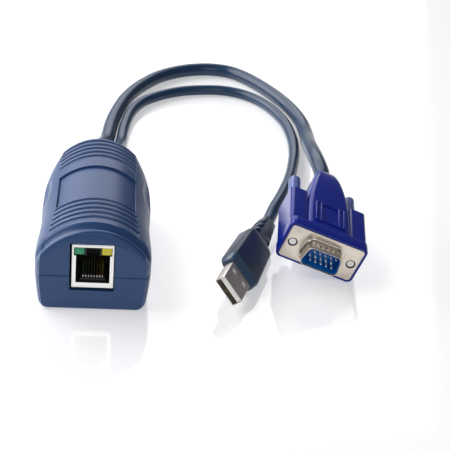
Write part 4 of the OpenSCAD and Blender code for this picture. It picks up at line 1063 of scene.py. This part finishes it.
grip = serial_loft("grip", [(12, 14.2, 4.8, 1.2), (12.12, 14.7, 5.3, 1.4), (12.4, 15.05, 5.65, 1.4),
                            (15.2, 16.1, 8.05, 1.9), (15.6, 16.33, 8.32, 2), (16.2, 16.38, 8.38, 2),
                            (37.4, 14.6, 8.38, 2), (38, 14.45, 8.3, 2), (38.6, 13.95, 8.1, 1.9),
                            (39.7, 12.8, 7.55, 1.9), (39.95, 12.3, 7.1, 1.6), (40, 11.6, 6.6, 1.3)])
relief = serial_loft("relief", [(39, 10.35, 6.95, 1.4), (57.6, 6.3, 6.3, 1.4), (57.9, 6, 6, 1.3),
                                (58, 5.6, 5.6, 1.2)])
notches = []
for side in (-1, 1):
    near, far = sorted((side * NOTCH_FROM, side * NOTCH_TO))
    for k in range(NOTCH_COUNT):
        low = GRIP_END + (k + 0.25) * RELIEF_LEN / 4
        notches.append(serial_box("notch", (near, low, -7), (far, low + NOTCH_W, 7)))
carved(relief, *notches)
edged(relief, 0.18, 2, 40)
carved(grip, relief, mode="UNION")
carved(grip, serial_box("shell_way", (-6.02, 11, -2.27), (6.02, 18.5, 2.27)))
smoothed(grip, 30)
grip.data.materials.append(grip_vinyl)
grip.data.materials.append(nose_painted_highlight)
# Faces ahead of the bevel's end get the painted highlight.
for face in grip.data.polygons:
    along = (face.center / MM - SERIAL_PLACE).dot(SERIAL_AXIS)
    face.material_index = int(along < BEVEL_END)
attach(grip, "housing")
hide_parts("serial_grip")

shell_steel = metal("shell_steel", (0.62, 0.59, 0.56), (0.54, 0.51, 0.49), 0.42, spread=0.12)
shell_steel.node_tree.nodes["Principled BSDF"].inputs["Specular Tint"].default_value = (0.3, 0.29, 0.28, 1)
shell_rings = [(y, SHELL_W + 2 * grown, SHELL_H + 2 * grown, SHELL_R + grown)
               for y, grown in ((0, -0.09), (0.03, -0.03), (0.1, 0), (SHELL_OUT + SHELL_IN, 0))]
plug_shell = serial_loft("plug_shell", shell_rings, 5)
hollow = serial_loft("hollow", [(y, SHELL_W - 2 * SHELL_SHEET, SHELL_H - 2 * SHELL_SHEET, 0.3)
                                for y in (-1, 20)], 5)
LATCH_X = 3.2
LATCH_HALF_W = 1.25
openings = [serial_box("window", (side * LATCH_X - LATCH_HALF_W, 7.4, -5),
                       (side * LATCH_X + LATCH_HALF_W, 9.6, 5)) for side in (-1, 1)]
openings.append(serial_box("fold_line", (-0.06, 0.4, 2.17), (0.06, 11.6, 5)))
carved(plug_shell, hollow, *openings)
smoothed(plug_shell, 35)
plug_shell.data.materials.append(shell_steel)
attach(plug_shell, "housing")
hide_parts("serial_shell")
white_nylon = plastic("white_nylon", (0.80, 0.79, 0.76), (0.84, 0.83, 0.80), 0.4)
dress("serial_tongue", white_nylon)
dress("serial_contacts", contact_gold)

# Both leads are laid last. The jacket is extruded over the wires, in one length from relief
# to plug.
video_lead = laid_cord("video_lead", VIDEO_ROUTE, VIDEO_CORD_D)
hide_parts("video_cord")
serial_lead = laid_cord("serial_lead", SERIAL_ROUTE, SERIAL_CORD_D)
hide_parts("serial_cord")

# The module lies on a glossy white table that glows a little, so that it stays white. A broad
# soft light stands at its left, another behind it, and a weak one in front and above. The
# room adds a little cool light from all round.
TABLE_REACH = 4.0
TABLE_Z = -0.0002
table_mesh = bpy.data.meshes.new("table")
table_mesh.from_pydata([(-TABLE_REACH, -TABLE_REACH, 0), (TABLE_REACH, -TABLE_REACH, 0),
                        (TABLE_REACH, TABLE_REACH, 0), (-TABLE_REACH, TABLE_REACH, 0)], [], [(0, 1, 2, 3)])
table = bpy.data.objects.new("table", table_mesh)
table.location.z = TABLE_Z
bpy.context.collection.objects.link(table)
table_paint = bpy.data.materials.new("table_paint")
table_paint.use_nodes = True
table_shader = table_paint.node_tree.nodes["Principled BSDF"]
table_look = {"Base Color": (0.62, 0.62, 0.63, 1), "Roughness": 0.08, "Specular IOR Level": 1,
              "Emission Color": (1, 1, 1, 1), "Emission Strength": 0.42}
for title, value in table_look.items():
    table_shader.inputs[title].default_value = value
table_mesh.materials.append(table_paint)


def soft_light(name, place, aim, width, height, power):
    data = bpy.data.lights.new(name, "AREA")
    data.shape = "RECTANGLE"
    data.size = width
    data.size_y = height
    data.energy = power
    lamp = bpy.data.objects.new(name, data)
    lamp.location = place
    lamp.rotation_euler = (Vector(aim) - Vector(place)).to_track_quat("-Z", "Y").to_euler()
    bpy.context.collection.objects.link(lamp)


soft_light("left_light", (-0.75, 0.35, 0.6), (0.03, 0.05, 0.0), width=1.2, height=1.0, power=18)
soft_light("back_light", (-0.2, 1.5, 0.75), (0.05, 0.05, 0), width=1.6, height=0.9, power=9)
soft_light("front_light", (0.2, -1.2, 0.9), (0.05, 0, 0), width=0.9, height=0.6, power=5)
ROOM_TONE = (0.9, 0.93, 1, 1)
ROOM_LIGHT = 0.17
world = bpy.data.worlds.new("studio")
world.use_nodes = True
world.node_tree.nodes["Background"].inputs["Color"].default_value = ROOM_TONE
world.node_tree.nodes["Background"].inputs["Strength"].default_value = ROOM_LIGHT
bpy.context.scene.world = world
bpy.context.scene.view_settings.view_transform = "Standard"
